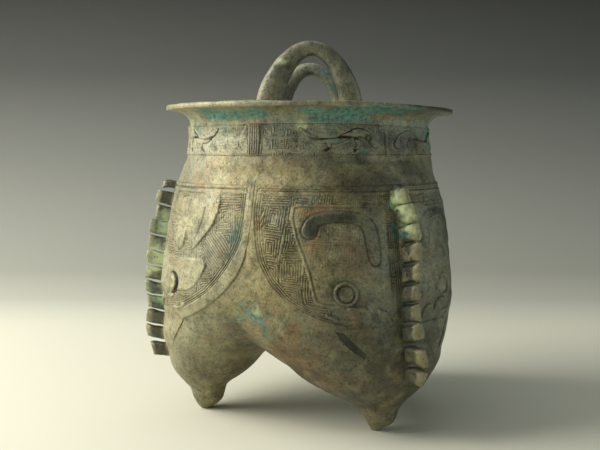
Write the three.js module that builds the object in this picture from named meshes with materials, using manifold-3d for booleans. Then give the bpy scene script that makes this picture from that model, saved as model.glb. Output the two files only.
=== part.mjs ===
// A cast bronze cauldron with a lobed belly. The round neck opens into three hollow
// pouches, each on a small solid foot. It has a flat everted rim, two upright arched
// handles, a notched flange down each pouch, masks on the pouches and dragons on the neck.
// Everything is one casting. Millimetres, +Z up, the near side is -Y, feet on Z = 0.

import * as THREE from "three";
import { mergeVertices } from "three/addons/utils/BufferGeometryUtils.js";
import Module from "manifold-3d";

const wasm = await Module();
wasm.setup();

const DEGREE = Math.PI / 180;

// Where the neck's axis stands, so that the bounding box is centred on the origin
const AXIS_X = 7.1;
const AXIS_Y = -2.7;

// Rim, neck and wall
const WALL = 3.5;
const RIM_TOP = 179.3;
const RIM_RADIUS = 83.7;
const RIM_THICKNESS = 2.8;
const MOUTH_RADIUS = 66.8;
const NECK_FOOT = 132;
const NECK_OUTLINE = [
  [70, NECK_FOOT],
  [71.9, 146],
  [70.2, 164],
  [70.4, 171],
  [77, 176],
];
const NECK_SIDES = 36;
// The rim has sunk on its +X side: by how much at most, and between which distances from
// the axis and which heights the sag grows
const RIM_SAG = 2.2;
const SAG_ACROSS = [5, 90];
const SAG_UP = [140, 172];

// How each pouch's lower belly differs from the common form: [height, how much wider its
// circle is] and [height, how much further out the circle's centre stands]
const FRONT_SWELL = [[0, 0], [6, -0.2], [12, -0.4], [17, 0.5], [23, 4.9], [30, 7.5], [38, 6.4], [47, 1.6], [75, 0]];
const FRONT_SHIFT = [[0, 0], [6, 4.5], [12, 3.6], [17, 1.7], [23, -2.1], [30, -4.5], [38, -2.9], [47, 0]];
const LEFT_SWELL = [[0, 0], [6, 0.5], [12, -1.3], [17, -1.6], [23, -1.1], [30, -3.2], [38, -6.1], [47, -5.9], [75, 0]];
const LEFT_SHIFT = [[0, 0], [6, -1.6], [12, -0.7], [17, 0], [23, -0.8], [30, -0.2], [38, 1.8], [47, 2.3], [60, 0]];
const BACK_SWELL = [[0, 0], [12, -0.8], [23, 1.9], [30, 2.1], [38, 0.2], [47, -2], [75, 0]];
const BACK_SHIFT = [[0, 0], [6, 1.4], [12, 1.4], [23, -1.4], [30, -2.3], [38, -0.5], [47, 1.1], [60, 0]];

// The three pouches: where each one points, measured from -Y towards +X, and its own
// swelling and shift. One carries the bladed mask. The flanges differ in the number and
// pitch of their teeth, and one bows aside at its middle
const POUCHES = [
  {
    turn: 35.7,
    swell: smooth(FRONT_SWELL),
    shift: smooth(FRONT_SHIFT),
    bladed: false,
    teeth: 10,
    pitch: 10.3,
    bow: 3.5,
  },
  {
    turn: -84.3,
    swell: smooth(LEFT_SWELL),
    shift: smooth(LEFT_SHIFT),
    bladed: true,
    teeth: 12,
    pitch: 8.85,
    bow: 0,
  },
  {
    turn: 155.7,
    swell: smooth(BACK_SWELL),
    shift: smooth(BACK_SHIFT),
    bladed: false,
    teeth: 10,
    pitch: 10.3,
    bow: 0,
  },
];

// A pouch is a stack of level circles: [height, furthest reach from the neck's axis]
const POUCH_REACH = [
  [0, 64.7],
  [1.6, 66.5],
  [4, 68.6],
  [9, 71.6],
  [13, 73.2],
  [17, 76.5],
  [22, 80.8],
  [28, 85.2],
  [36, 88.6],
  [46, 90.2],
  [60, 88.8],
  [80, 86.5],
  [100, 84.1],
  [120, 80.9],
  [134, 77.4],
  [142, 74.6],
  [146.5, 72.6],
  [149.5, 68.5],
];
// and [height, distance of the circle's centre from the neck's axis]
const POUCH_CENTRE = [
  [0, 62.5],
  [13, 61.5],
  [22, 60],
  [28, 57.8],
  [35, 54],
  [45, 41],
  [60, 22],
  [80, 9.5],
  [100, 7.8],
  [142, 8],
  [149.5, 4],
];
const POUCH_ROWS = [0, 1.6, 6, 12, 17, 22.5, 29.5, 37, 45, 55, 70, 92, 114, 134, 144, 149.5];
const POUCH_SIDES = 26;
const HOLLOW_ROWS = [17.5, 20, 27, 35, 43, 53, 70, 100, 147];
const HOLLOW_SIDES = 18;

// Handles: one arch on the near side of the rim and one on the far side
const HANDLE_DISTANCE = 69;
const HANDLE_HALF_WIDTH = 27.4;
const HANDLE_HEIGHT = 31.5;
const HANDLE_HOLE_HALF_WIDTH = 14.1;
const HANDLE_HOLE_HEIGHT = 23;
const HANDLE_HOLE_SHIFT = 1.4;
const HANDLE_THICKNESS = 9;
const HANDLE_BEVEL = 2;
const HANDLE_ROOT = 2.6;
const ARCH_POWER = 1.4;
const ARCH_STEPS = 7;

// Flanges: a row of separate teeth down the middle of each pouch
const FLANGE_BOTTOM = 32;
const BOW_RISES = [60, 98];
const BOW_FADES = [108, 134];
const TOOTH_GAP = 1.3;
const TOOTH_PROJECTION = 10.6;
const TOOTH_ROOT = 3;
const TOOTH_THICKNESS = 4.6;
const TOOTH_EDGE_THICKNESS = 3.6;
const TOOTH_RISE = 2.9;

// Relief on a pouch is drawn as [distance to one side of the flange, height]. The
// distance is an arc on a circle of this radius about the pouch's own axis
const DRAWING_RADIUS = 75;
const PLATE_LIFT = 1.1;
const LINE_LIFT = 1.3;
const BOSS_LIFT = 2;
const RELIEF_ROOT = 1.5;
const PRISM_INNER = 52;
const PRISM_OUTER = 92;

// The plain border below a mask, from the valley beside the pouch down to its flange. It
// is broader below the bladed mask
const BORDER_WIDTH = 5.5;
const BLADED_BORDER_WIDTH = 7.2;
const BORDER_LINE = [
  [84.5, 136],
  [83.5, 112],
  [78, 92],
  [66, 75],
  [50, 65],
  [22, 60],
];
const BLADED_BORDER_LINE = [
  [85.5, 136],
  [84.6, 112],
  [79.6, 94],
  [68.5, 77.5],
  [53, 66.5],
  [38, 61.5],
];
// The broad face plate of a mask, and the curled horn on it
const FACE_PLATE = [
  [12, 126],
  [60, 126],
  [61.5, 119],
  [55.5, 100],
  [50, 76],
  [12, 75],
];
const HORN_LINE = [
  [51, 112],
  [47, 117.5],
  [37, 119.5],
  [26, 118],
  [18.5, 111],
  [17, 99],
];
const HORN_WIDTHS = [11, 8, 5.5, 6.5, 9, 6];
// The other form of mask: a blade-shaped horn above a rounded eye plate
const BLADE_PLATE = [
  [12, 125],
  [64, 130],
  [67, 123],
  [62, 112],
  [50, 100],
  [24, 116],
  [12, 118],
];
const EYE_PLATE = [
  [12, 94],
  [61, 94],
  [53, 79],
  [42, 76.5],
  [12, 77],
];
const EYE = [35, 83];
const EYE_RING_OUTER = 6.2;
const EYE_RING_INNER = 4;
const EYE_PUPIL = 2.2;
const EYE_SIDES = 8;
// Jaw: a short thick hook beside the flange under the eye
const JAW_LINE = [
  [30, 70.5],
  [17, 70],
  [11, 66],
];
const JAW_WIDTHS = [3, 4.5, 4];

// Neck band: six crawling dragons in pairs, drawn as [distance along the neck, height]
// from the middle of each pair, on a circle of this radius
const BAND_RADIUS = 70.4;
const BAND_LIFT = 0.9;
const DRAGON_PAIRS = 3;
const DRAGON_BODY = [
  [9, 157],
  [17, 163],
  [30, 159],
  [40, 159.5],
  [48, 164.5],
];
const DRAGON_BODY_WIDTHS = [5, 5.5, 4, 4, 2.5];
const DRAGON_LEG = [
  [19, 161],
  [18, 153.5],
];
const DRAGON_LEG_WIDTHS = [3.5, 2.5];
const PAIR_RIDGE = 2.6;
const BAND_BOTTOM = 151.5;
const BAND_TOP = 167.5;

const BRONZE = { color: 0x6f6850, roughness: 0.62, metalness: 0.75 };

// A curve through stations [[x, y], ...] that never swings past them.
function smooth(stations) {
  const rises = stations
    .slice(1)
    .map(([x, y], i) => (y - stations[i][1]) / (x - stations[i][0]));
  const slopes = stations.map((_, i) => {
    if (i === 0) return rises[0];
    if (i === rises.length) return rises[i - 1];
    const product = rises[i - 1] * rises[i];
    return product <= 0 ? 0 : (2 * product) / (rises[i - 1] + rises[i]);
  });
  return (x) => {
    const later = stations.findIndex((station) => station[0] >= x);
    const i = Math.max(0, (later < 0 ? stations.length - 1 : later) - 1);
    const [x0, y0] = stations[i];
    const [x1, y1] = stations[i + 1];
    const width = x1 - x0;
    const t = THREE.MathUtils.clamp((x - x0) / width, 0, 1);
    const toSecond = t * t * (3 - 2 * t);
    const firstSlope = t * (1 - t) * (1 - t) * slopes[i];
    const secondSlope = t * t * (t - 1) * slopes[i + 1];
    return y0 + (y1 - y0) * toSecond + width * (firstSlope + secondSlope);
  };
}

const reach = smooth(POUCH_REACH);
const centre = smooth(POUCH_CENTRE);
const neckRadius = smooth(NECK_OUTLINE.map(([radius, z]) => [z, radius]));

// How far the centre of a pouch's circle is from the neck's axis at height z.
function middleAt(pouch, z) {
  return centre(z) + pouch.shift(z);
}

// The radius of a pouch's circle at height z.
function girth(pouch, z) {
  return reach(z) - centre(z) + pouch.swell(z);
}

// A point beside the neck's axis: out along the pouch's direction and aside from it.
function beside(pouch, out, aside, z) {
  const turn = pouch.turn * DEGREE;
  const x = out * Math.sin(turn) + aside * Math.cos(turn);
  const y = aside * Math.sin(turn) - out * Math.cos(turn);
  return [x, y, z];
}

// A closed manifold solid from three.js geometry.
function solidFrom(geometry) {
  const bare = geometry.index ? geometry.toNonIndexed() : geometry.clone();
  bare.deleteAttribute("normal");
  bare.deleteAttribute("uv");
  const merged = mergeVertices(bare, 1e-4);
  return new wasm.Manifold(
    new wasm.Mesh({
      numProp: 3,
      vertProperties: new Float32Array(merged.attributes.position.array),
      triVerts: new Uint32Array(merged.index.array),
    }),
  );
}

function geometryFrom(solid) {
  const mesh = solid.getMesh();
  const geometry = new THREE.BufferGeometry();
  geometry.setAttribute("position", new THREE.BufferAttribute(mesh.vertProperties, 3));
  geometry.setIndex(new THREE.BufferAttribute(mesh.triVerts, 1));
  const flat = geometry.toNonIndexed();
  flat.computeVertexNormals();
  return flat;
}

// A solid from faces that list points by number.
function solidFromFaces(points, faces) {
  const geometry = new THREE.BufferGeometry();
  geometry.setAttribute("position", new THREE.Float32BufferAttribute(points.flat(), 3));
  geometry.setIndex(faces.flat());
  return solidFrom(geometry);
}

function union(solids) {
  return solids.reduce((joined, solid) => joined.add(solid));
}

// A solid through rings of points, each ring running anticlockwise seen from above,
// from the lowest to the highest, closed by a fan at each end.
function loft(rings) {
  const sides = rings[0].length;
  const points = rings.flat();
  const faces = [];
  for (let row = 0; row + 1 < rings.length; row += 1) {
    for (let side = 0; side < sides; side += 1) {
      const a = row * sides + side;
      const b = row * sides + ((side + 1) % sides);
      faces.push([a, b, b + sides], [a, b + sides, a + sides]);
    }
  }
  const last = (rings.length - 1) * sides;
  for (let side = 1; side + 1 < sides; side += 1) {
    faces.push([0, side + 1, side]);
    faces.push([last, last + side, last + side + 1]);
  }
  return solidFromFaces(points, faces);
}

// A level circle as a polygon of the same area, at a distance out from the neck's axis.
function circle(pouch, middle, radius, z, sides) {
  const step = (2 * Math.PI) / sides;
  const corner = radius * Math.sqrt(step / Math.sin(step));
  return Array.from({ length: sides }, (_, side) => {
    const out = middle + corner * Math.cos(side * step);
    return beside(pouch, out, corner * Math.sin(side * step), z);
  });
}

// The outside of a pouch with its foot, thickened by grow.
function pouchOutside(pouch, grow) {
  const rings = POUCH_ROWS.map((z) =>
    circle(pouch, middleAt(pouch, z), girth(pouch, z) + grow, z, POUCH_SIDES),
  );
  return loft(rings);
}

// Where the inner face of a pouch's wall lies: [height, distance from the neck's axis]
// on the pouch's outer side (+1) or on the side towards the axis (-1).
function innerFace(pouch, side) {
  const step = 0.5;
  const top = POUCH_REACH.at(-1)[0] - step;
  const edge = (z) => middleAt(pouch, z) + side * girth(pouch, z);
  const stations = [];
  for (let z = 2 * step; z < top; z += step) {
    const lean = (edge(z + step) - edge(z - step)) / (2 * step);
    const across = WALL / Math.hypot(1, lean);
    const height = z + side * across * lean;
    if (stations.length === 0 || height > stations.at(-1)[0]) {
      stations.push([height, edge(z) - side * across]);
    }
  }
  return smooth(stations);
}

// The hollow inside a pouch, down to its solid foot.
function pouchHollow(pouch) {
  const outer = innerFace(pouch, 1);
  const inner = innerFace(pouch, -1);
  const rings = HOLLOW_ROWS.map((z, row) => {
    const between = (outer(z) + inner(z)) / 2;
    const rounding = row === 0 ? 0.7 : 1;
    return circle(pouch, between, (rounding * (outer(z) - inner(z))) / 2, z, HOLLOW_SIDES);
  });
  return loft(rings);
}

// A solid of revolution about the neck's axis from [radius, height] pairs, bottom to top.
function turned(outline) {
  const bottom = outline[0][1];
  const top = outline.at(-1)[1];
  const profile = [[0, bottom], ...outline, [0, top]];
  const points = profile.map(([radius, height]) => new THREE.Vector2(radius, height));
  const lathe = new THREE.LatheGeometry(points, NECK_SIDES);
  return solidFrom(lathe.rotateX(Math.PI / 2));
}

function neckOutside() {
  return turned([
    ...NECK_OUTLINE,
    [RIM_RADIUS - 0.7, RIM_TOP - RIM_THICKNESS],
    [RIM_RADIUS, RIM_TOP - RIM_THICKNESS / 2],
    [RIM_RADIUS - 0.7, RIM_TOP],
  ]);
}

function neckHollow() {
  return turned([
    [MOUTH_RADIUS - 1.5, NECK_FOOT],
    [MOUTH_RADIUS, NECK_FOOT + 14],
    [MOUTH_RADIUS - 0.4, RIM_TOP - 6],
    [MOUTH_RADIUS + 1.4, RIM_TOP + 1],
  ]);
}

// Points on an arch that stands on its base line, from its left foot to its right foot.
function archPoints(halfWidth, height, shift, base) {
  const points = [new THREE.Vector2(shift - halfWidth, base)];
  for (let step = -ARCH_STEPS; step <= ARCH_STEPS; step += 1) {
    const swing = Math.sin((step / ARCH_STEPS) * (Math.PI / 2));
    const rise = height * (1 - swing * swing) ** (1 / ARCH_POWER);
    points.push(new THREE.Vector2(shift + halfWidth * swing, rise));
  }
  points.push(new THREE.Vector2(shift + halfWidth, base));
  return points;
}

function handle(side) {
  const outline = archPoints(HANDLE_HALF_WIDTH, HANDLE_HEIGHT, 0, -HANDLE_ROOT);
  const hole = archPoints(
    HANDLE_HOLE_HALF_WIDTH,
    HANDLE_HOLE_HEIGHT,
    HANDLE_HOLE_SHIFT,
    -HANDLE_ROOT,
  );
  const shape = new THREE.Shape([...outline, ...hole.reverse()]);
  const arch = new THREE.ExtrudeGeometry(shape, {
    depth: HANDLE_THICKNESS - 2 * HANDLE_BEVEL,
    bevelThickness: HANDLE_BEVEL,
    bevelSize: HANDLE_BEVEL,
    bevelOffset: -HANDLE_BEVEL,
    bevelSegments: 1,
  });
  arch.translate(0, 0, HANDLE_BEVEL - HANDLE_THICKNESS / 2);
  arch.rotateX(Math.PI / 2);
  arch.translate(0, side * HANDLE_DISTANCE, RIM_TOP);
  return solidFrom(arch);
}

// How far a flange stands aside from the middle of its pouch at height z.
function flangeMiddle(pouch, z) {
  const rise = THREE.MathUtils.smoothstep(z, ...BOW_RISES);
  const fade = THREE.MathUtils.smoothstep(z, ...BOW_FADES);
  return pouch.bow * rise * (1 - fade);
}

// One tooth of a flange: it leans up as it goes out, and thins towards its edge.
function tooth(pouch, bottom) {
  const points = [];
  for (const z of [bottom, bottom + pouch.pitch - TOOTH_GAP]) {
    const skin = middleAt(pouch, z) + girth(pouch, z);
    const middle = flangeMiddle(pouch, z);
    const root = TOOTH_THICKNESS / 2;
    const edge = TOOTH_EDGE_THICKNESS / 2;
    points.push(beside(pouch, skin - TOOTH_ROOT, middle - root, z));
    points.push(beside(pouch, skin + TOOTH_PROJECTION, middle - edge, z + TOOTH_RISE));
    points.push(beside(pouch, skin + TOOTH_PROJECTION, middle + edge, z + TOOTH_RISE));
    points.push(beside(pouch, skin - TOOTH_ROOT, middle + root, z));
  }
  return loft([points.slice(0, 4), points.slice(4)]);
}

function flange(pouch) {
  return Array.from({ length: pouch.teeth }, (_, index) =>
    tooth(pouch, FLANGE_BOTTOM + index * pouch.pitch),
  );
}

// The outline of a band that follows a line of [x, y] points with a width at each.
function band(line, widths) {
  const left = [];
  const right = [];
  line.forEach(([x, y], i) => {
    const before = line[Math.max(i - 1, 0)];
    const after = line[Math.min(i + 1, line.length - 1)];
    const length = Math.hypot(after[0] - before[0], after[1] - before[1]);
    const half = widths[i] / 2;
    const acrossX = (-(after[1] - before[1]) / length) * half;
    const acrossY = ((after[0] - before[0]) / length) * half;
    left.push([x + acrossX, y + acrossY]);
    right.unshift([x - acrossX, y - acrossY]);
  });
  return [...left, ...right];
}

function disc([x, y], radius) {
  return Array.from({ length: EYE_SIDES }, (_, side) => {
    const turn = (side / EYE_SIDES) * 2 * Math.PI;
    return [x + radius * Math.cos(turn), y + radius * Math.sin(turn)];
  });
}

// A solid that stands on a drawn outline and runs outwards through the wall.
// place(x, y, radius) gives the point in space.
function prism(outline, place, innerRadius, outerRadius) {
  const flat = outline.map(([x, y]) => new THREE.Vector2(x, y));
  if (THREE.ShapeUtils.isClockWise(flat)) flat.reverse();
  const count = flat.length;
  const inner = flat.map(({ x, y }) => place(x, y, innerRadius));
  const outer = flat.map(({ x, y }) => place(x, y, outerRadius));
  const faces = [];
  for (const [a, b, c] of THREE.ShapeUtils.triangulateShape(flat, [])) {
    faces.push([a + count, b + count, c + count], [a, c, b]);
  }
  for (let i = 0; i < count; i += 1) {
    const next = (i + 1) % count;
    faces.push([i, next, next + count], [i, next + count, i + count]);
  }
  return solidFromFaces([...inner, ...outer], faces);
}

function mirrored(outline, side) {
  return outline.map(([x, y]) => [side * x, y]);
}

function pouchPoint(pouch, x, z, radius) {
  const turn = x / DRAWING_RADIUS;
  return beside(pouch, middleAt(pouch, z) + radius * Math.cos(turn), radius * Math.sin(turn), z);
}

// Both halves of a broad plate on a pouch: its drawn outline cut from a thicker skin.
function plates(pouch, outline) {
  const place = (x, z, radius) => pouchPoint(pouch, x, z, radius);
  const cutter = union(
    [-1, 1].map((side) => prism(mirrored(outline, side), place, PRISM_INNER, PRISM_OUTER)),
  );
  return pouchOutside(pouch, PLATE_LIFT).intersect(cutter);
}

// Both halves of a narrow relief on a pouch, from inside the wall to its lift above it.
function reliefs(pouch, outline, lift) {
  const place = (x, z, height) => pouchPoint(pouch, x, z, girth(pouch, z) + height);
  return union(
    [-1, 1].map((side) => prism(mirrored(outline, side), place, -RELIEF_ROOT, lift)),
  );
}

function neckRelief(turn, outline) {
  const place = (x, z, height) => {
    const angle = turn * DEGREE + x / BAND_RADIUS;
    const radius = neckRadius(z) + height;
    return [radius * Math.sin(angle), -radius * Math.cos(angle), z];
  };
  return prism(outline, place, -RELIEF_ROOT, BAND_LIFT);
}

function mask(pouch) {
  const borderLine = pouch.bladed ? BLADED_BORDER_LINE : BORDER_LINE;
  const borderWidth = pouch.bladed ? BLADED_BORDER_WIDTH : BORDER_WIDTH;
  const border = band(borderLine, borderLine.map(() => borderWidth));
  const ring = reliefs(pouch, disc(EYE, EYE_RING_OUTER), BOSS_LIFT).subtract(
    reliefs(pouch, disc(EYE, EYE_RING_INNER), BOSS_LIFT + 1),
  );
  const shared = [
    reliefs(pouch, border, LINE_LIFT),
    reliefs(pouch, band(JAW_LINE, JAW_WIDTHS), LINE_LIFT),
    reliefs(pouch, disc(EYE, EYE_PUPIL), BOSS_LIFT),
    ring,
  ];
  if (pouch.bladed) {
    return [...shared, plates(pouch, BLADE_PLATE), plates(pouch, EYE_PLATE)];
  }
  const horn = reliefs(pouch, band(HORN_LINE, HORN_WIDTHS), BOSS_LIFT);
  return [...shared, plates(pouch, FACE_PLATE), horn];
}

function dragonBand() {
  const solids = [];
  for (let pair = 0; pair < DRAGON_PAIRS; pair += 1) {
    const turn = POUCHES[0].turn + (pair * 360) / DRAGON_PAIRS;
    const ridge = band([[0, BAND_BOTTOM], [0, BAND_TOP]], [PAIR_RIDGE, PAIR_RIDGE]);
    solids.push(neckRelief(turn, ridge));
    for (const side of [-1, 1]) {
      const body = band(DRAGON_BODY, DRAGON_BODY_WIDTHS);
      const leg = band(DRAGON_LEG, DRAGON_LEG_WIDTHS);
      solids.push(neckRelief(turn, mirrored(body, side)));
      solids.push(neckRelief(turn, mirrored(leg, side)));
    }
  }
  return solids;
}

// The same solid with its rim let down on the +X side.
function sagged(solid) {
  return solid.warp((point) => {
    const across = THREE.MathUtils.smoothstep(point[0], ...SAG_ACROSS);
    const up = THREE.MathUtils.smoothstep(point[2], ...SAG_UP);
    point[2] -= RIM_SAG * across * up;
  });
}

function vessel() {
  const outside = union([
    neckOutside(),
    ...POUCHES.map((pouch) => pouchOutside(pouch, 0)),
    ...POUCHES.flatMap(mask),
    ...POUCHES.flatMap(flange),
    ...dragonBand(),
  ]);
  const hollow = union([neckHollow(), ...POUCHES.map(pouchHollow)]);
  return sagged(union([outside.subtract(hollow), handle(-1), handle(1)]));
}

const ding = new THREE.Mesh(
  geometryFrom(vessel()),
  new THREE.MeshStandardMaterial(BRONZE),
);
ding.name = "ding_vessel";
ding.position.set(AXIS_X, AXIS_Y, 0);

const part = new THREE.Group();
part.add(ding);

export default part;
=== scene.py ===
"""Looks of a cast bronze lobed ding: its surface, relief and corrosion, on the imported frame."""
import math

import bpy
import numpy as np
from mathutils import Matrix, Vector


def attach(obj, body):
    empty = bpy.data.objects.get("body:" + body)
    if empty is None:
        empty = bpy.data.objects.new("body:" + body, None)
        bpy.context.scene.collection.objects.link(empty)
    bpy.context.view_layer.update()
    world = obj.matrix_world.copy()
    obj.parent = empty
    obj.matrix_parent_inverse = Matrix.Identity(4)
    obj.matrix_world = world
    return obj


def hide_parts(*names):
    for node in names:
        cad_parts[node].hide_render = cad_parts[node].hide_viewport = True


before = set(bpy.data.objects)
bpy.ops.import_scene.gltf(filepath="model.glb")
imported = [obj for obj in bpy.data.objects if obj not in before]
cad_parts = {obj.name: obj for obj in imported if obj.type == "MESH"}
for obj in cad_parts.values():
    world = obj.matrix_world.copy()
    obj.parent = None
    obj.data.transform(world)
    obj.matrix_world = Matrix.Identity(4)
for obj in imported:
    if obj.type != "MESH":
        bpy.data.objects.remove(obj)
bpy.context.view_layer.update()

# Lengths are in millimetres in the CAD frame, and become metres when a mesh is made
MM = 0.001
AXIS = np.array([7.1, -2.7, 0.0])

# Rim, neck and wall
WALL = 3.5
RIM_TOP = 179.3
RIM_RADIUS = 83.7
RIM_THICKNESS = 2.8
# Where the rim's underside starts beside the neck
RIM_ROOT = 79.2
MOUTH_RADIUS = 66.8
NECK_FOOT = 132.0
NECK_OUTLINE = [(132, 70), (146, 71.9), (153, 71.2), (164, 70.2), (170, 70.4), (173.5, 72.6), (176.3, 78)]

# The rim has sunk on its +X side: by how much at most, and between which distances from
# the axis and which heights the sag grows
RIM_SAG = 2.2
SAG_ACROSS = (5, 90)
SAG_UP = (140, 172)

# The three pouches: direction from -Y towards +X in degrees, whether the mask has the bladed
# horn, the number and pitch of the flange's teeth and how far the flange bows aside
POUCHES = [
    {"name": "front", "turn": 35.7, "bladed": False, "teeth": 10, "pitch": 10.3, "bow": 3.5},
    {"name": "left", "turn": -84.3, "bladed": True, "teeth": 12, "pitch": 8.85, "bow": 0.0},
    {"name": "back", "turn": 155.7, "bladed": False, "teeth": 10, "pitch": 10.3, "bow": 0.0},
]
# How each pouch's lower belly differs from the common form: (height, how much wider its
# circle is) and (height, how much further out the circle's centre stands)
SWELL = {
    "front": [
        (0, 0), (6, -0.2), (12, -0.4), (17, 0.5), (23, 4.9), (30, 7.5), (38, 6.4), (47, 1.6), (75, 0),
    ],
    "left": [
        (0, 0), (6, 0.5), (12, -1.3), (17, -1.6), (23, -1.1), (30, -3.2), (38, -6.1), (47, -5.9), (75, 0),
    ],
    "back": [(0, 0), (12, -0.8), (23, 1.9), (30, 2.1), (38, 0.2), (47, -2), (75, 0)],
}
SHIFT = {
    "front": [(0, 0), (6, 4.5), (12, 3.6), (17, 1.7), (23, -2.1), (30, -4.5), (38, -2.9), (47, 0)],
    "left": [(0, 0), (6, -1.6), (12, -0.7), (17, 0), (23, -0.8), (30, -0.2), (38, 1.8), (47, 2.3), (60, 0)],
    "back": [(0, 0), (6, 1.4), (12, 1.4), (23, -1.4), (30, -2.3), (38, -0.5), (47, 1.1), (60, 0)],
}
POUCH_REACH = [
    (0, 64.7), (1.6, 66.5), (4, 68.6), (9, 71.6), (13, 73.2), (17, 76.5), (22, 80.8), (28, 85.2),
    (36, 88.6), (46, 90.2), (60, 88.8), (80, 86.5), (100, 84.1), (120, 80.9), (134, 77.4),
    (142, 74.6), (146.5, 72.6), (149.5, 68.5),
]
POUCH_CENTRE = [
    (0, 62.5), (13, 61.5), (22, 60), (28, 57.8), (35, 54), (45, 41), (60, 22), (80, 9.5),
    (100, 7.8), (142, 8), (149.5, 4),
]
POUCH_TOP = 149.5
HOLLOW_FLOOR = 17.5
HOLLOW_TOP = 147.5

# The grid of the vessel's skin: columns round the axis, level rows above EQUATOR, and rows
# along rays from a centre RAY_RADIUS from the axis below it
COLUMNS = 320
EQUATOR = 85.0
RAY_RADIUS = 35.0
LEVEL_ROWS = 80
RAY_ROWS = 94
HOLLOW_LEVEL_ROWS = 26
HOLLOW_RAY_ROWS = 34
RIM_UNDER_ROWS = 4
RIM_TOP_ROWS = 11
RAY_SAMPLES = 420
FARTHEST = 140.0
CREASE_BLEND = 0.9

# Relief on the pouches, measured in distance beside the flange (on PANEL_RADIUS) and height,
# for one side; the other side is its mirror image
PANEL_RADIUS = 75.0
PANEL_REACH = 88.0
PANEL_TOP = 136.5
PANEL_FOOT = [
    (0, 36), (38, 36), (47, 44), (58, 54), (67, 62), (74, 70), (80, 79), (85, 90), (88, 104),
]
PANEL_COLUMNS = 400
PANEL_ROWS = 238
BORDER_LINE = [
    (84.8, 138), (84.4, 120), (82.5, 106), (79.5, 94.5), (74, 84), (66.5, 75), (58, 68.5),
    (50, 64.5), (40, 62), (22, 60.5), (0, 60),
]
BORDER_WIDTH = 5.5
BORDER_FADE = 10.0
BLADED_BORDER_LINE = [
    (86.5, 138), (86.2, 120), (84.6, 107), (82.3, 99.5), (78, 90.5), (72.3, 82.2), (65.3, 74.8), (57, 69.3),
    (49, 65.4), (40, 62.8), (22, 61), (0, 60.5),
]
BLADED_BORDER_WIDTH = 7.4
# The bladed mask's border narrows by a share between two heights
BLADED_BORDER_NARROWS = (0.42, 88, 112)
# A plain border is lower, and runs out into the belly below it, a little less so aside
PLAIN_BORDER_LIFT = 0.75
PLAIN_BORDER_EASES = (20, 50, 0.15)
# A low chin below each mask, whose side stands out as a step
CHIN = [(-1, 63), (45, 63), (45.5, 58), (44, 50), (40, 42), (34, 34), (-1, 34)]
CHIN_LIFT = 0.8
CHIN_FADE = (37, 56)
TOP_LINES = [134.6, 131.6]
FACE_PLATE = [
    (9, 126), (58, 126.4), (60.8, 125), (61.5, 119), (59, 109), (55.5, 100), (52.5, 91),
    (51, 82), (50, 75.5), (44, 73.5), (9, 73.5),
]
HORN_LINE = [
    (51.4, 112.6, 7.6), (50, 116, 6.6), (45, 118.9, 5.2), (37, 119.9, 4.6), (30, 119.6, 4.8),
    (24, 118, 5.6), (20, 114, 6.6), (18.4, 107, 6.8), (17.6, 100, 6.2), (17.2, 97, 4.8),
]
BLADE_PLATE = [
    (9, 124), (24, 126.5), (42, 129), (60, 131.5), (65.5, 131), (67.3, 127), (66.8, 121),
    (64, 114.5), (59, 108.5), (54, 103.5), (49.5, 100), (45.5, 104), (41, 112), (33, 117.5),
    (20, 119), (9, 119),
]
BLADE_VEIN = [(56.5, 123, 1.1), (56, 118, 1.3), (53.5, 111, 1.2), (50.5, 105.5, 0.8)]
OVAL = (36.5, 108.5, 5.6, 9.0)
EYE_PLATE = [
    (9, 95), (57, 95.5), (61, 94), (60.5, 90.5), (57.5, 85), (53.5, 80.3), (49, 77.8), (40, 76.8),
    (9, 76.8),
]
EYE = (33.8, 80.4)
EYE_RING = 6.2
EYE_HOLE = 4.9
BALL_SHIFT = 2.6
SOCKET_FLOOR = 0.02
JAW_LINE = [(33, 72.8, 2.4), (27, 72.6, 2.6), (24.3, 71.4, 2.4), (22.8, 68.8, 1.8)]
FANG_LINE = [(17, 70.5, 3.4), (13.5, 68.5, 3.2), (11, 65, 2)]
LEG_LINE = [(46, 69.5, 2.2), (40, 66.5, 2.4), (33, 66.2, 2.0)]
# A sunk slab below the mask
RECESS = [(45.5, 62), (40.5, 60.5), (34.5, 49), (38.5, 46), (43, 51), (45.5, 55.5)]
RECESS_DEPTH = 0.7
# How far the rounded edge of each raised form reaches
STRIP_EDGE = 0.5
VEIN_EDGE = 0.6
LINE_EDGE = 0.8
PLATE_EDGE = 0.9
HORN_EDGE = 1.6
# Where the lower face of a plain mask is worn: distance beside the flange, and height
WORN_FACE = ((34, 48), (74, 84))
GROUND_LIFT = 0.45
PLATE_LIFT = 1.15
BAND_LIFT = 1.0
HORN_LIFT = 1.5
SUNK = -0.9
SHELL_DEPTH = 2.0
SHELL_ROWS = 9

# Thread ground: square spirals in cells of a width and height, how far the lattice leans,
# and how far the lines wander
MASK_SPIRALS = (12.4, 15.4)
MASK_SPIRAL_LEAN = 5.0
NECK_SPIRALS = (7.0, 7.4)
SPIRAL_PITCH = 1.3
SPIRAL_DEPTH = 0.44
SPIRAL_DRIFT = 0.37
WANDER = (0.55, 9.0)
# Lines that follow the border, level lines at the top of a mask, and a steep patch
BORDER_THREADS = 3.9
LEVEL_THREADS = (62.5, 124.6)
STEEP_ZONE = (66.5, 100.5, 9.5)

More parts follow.
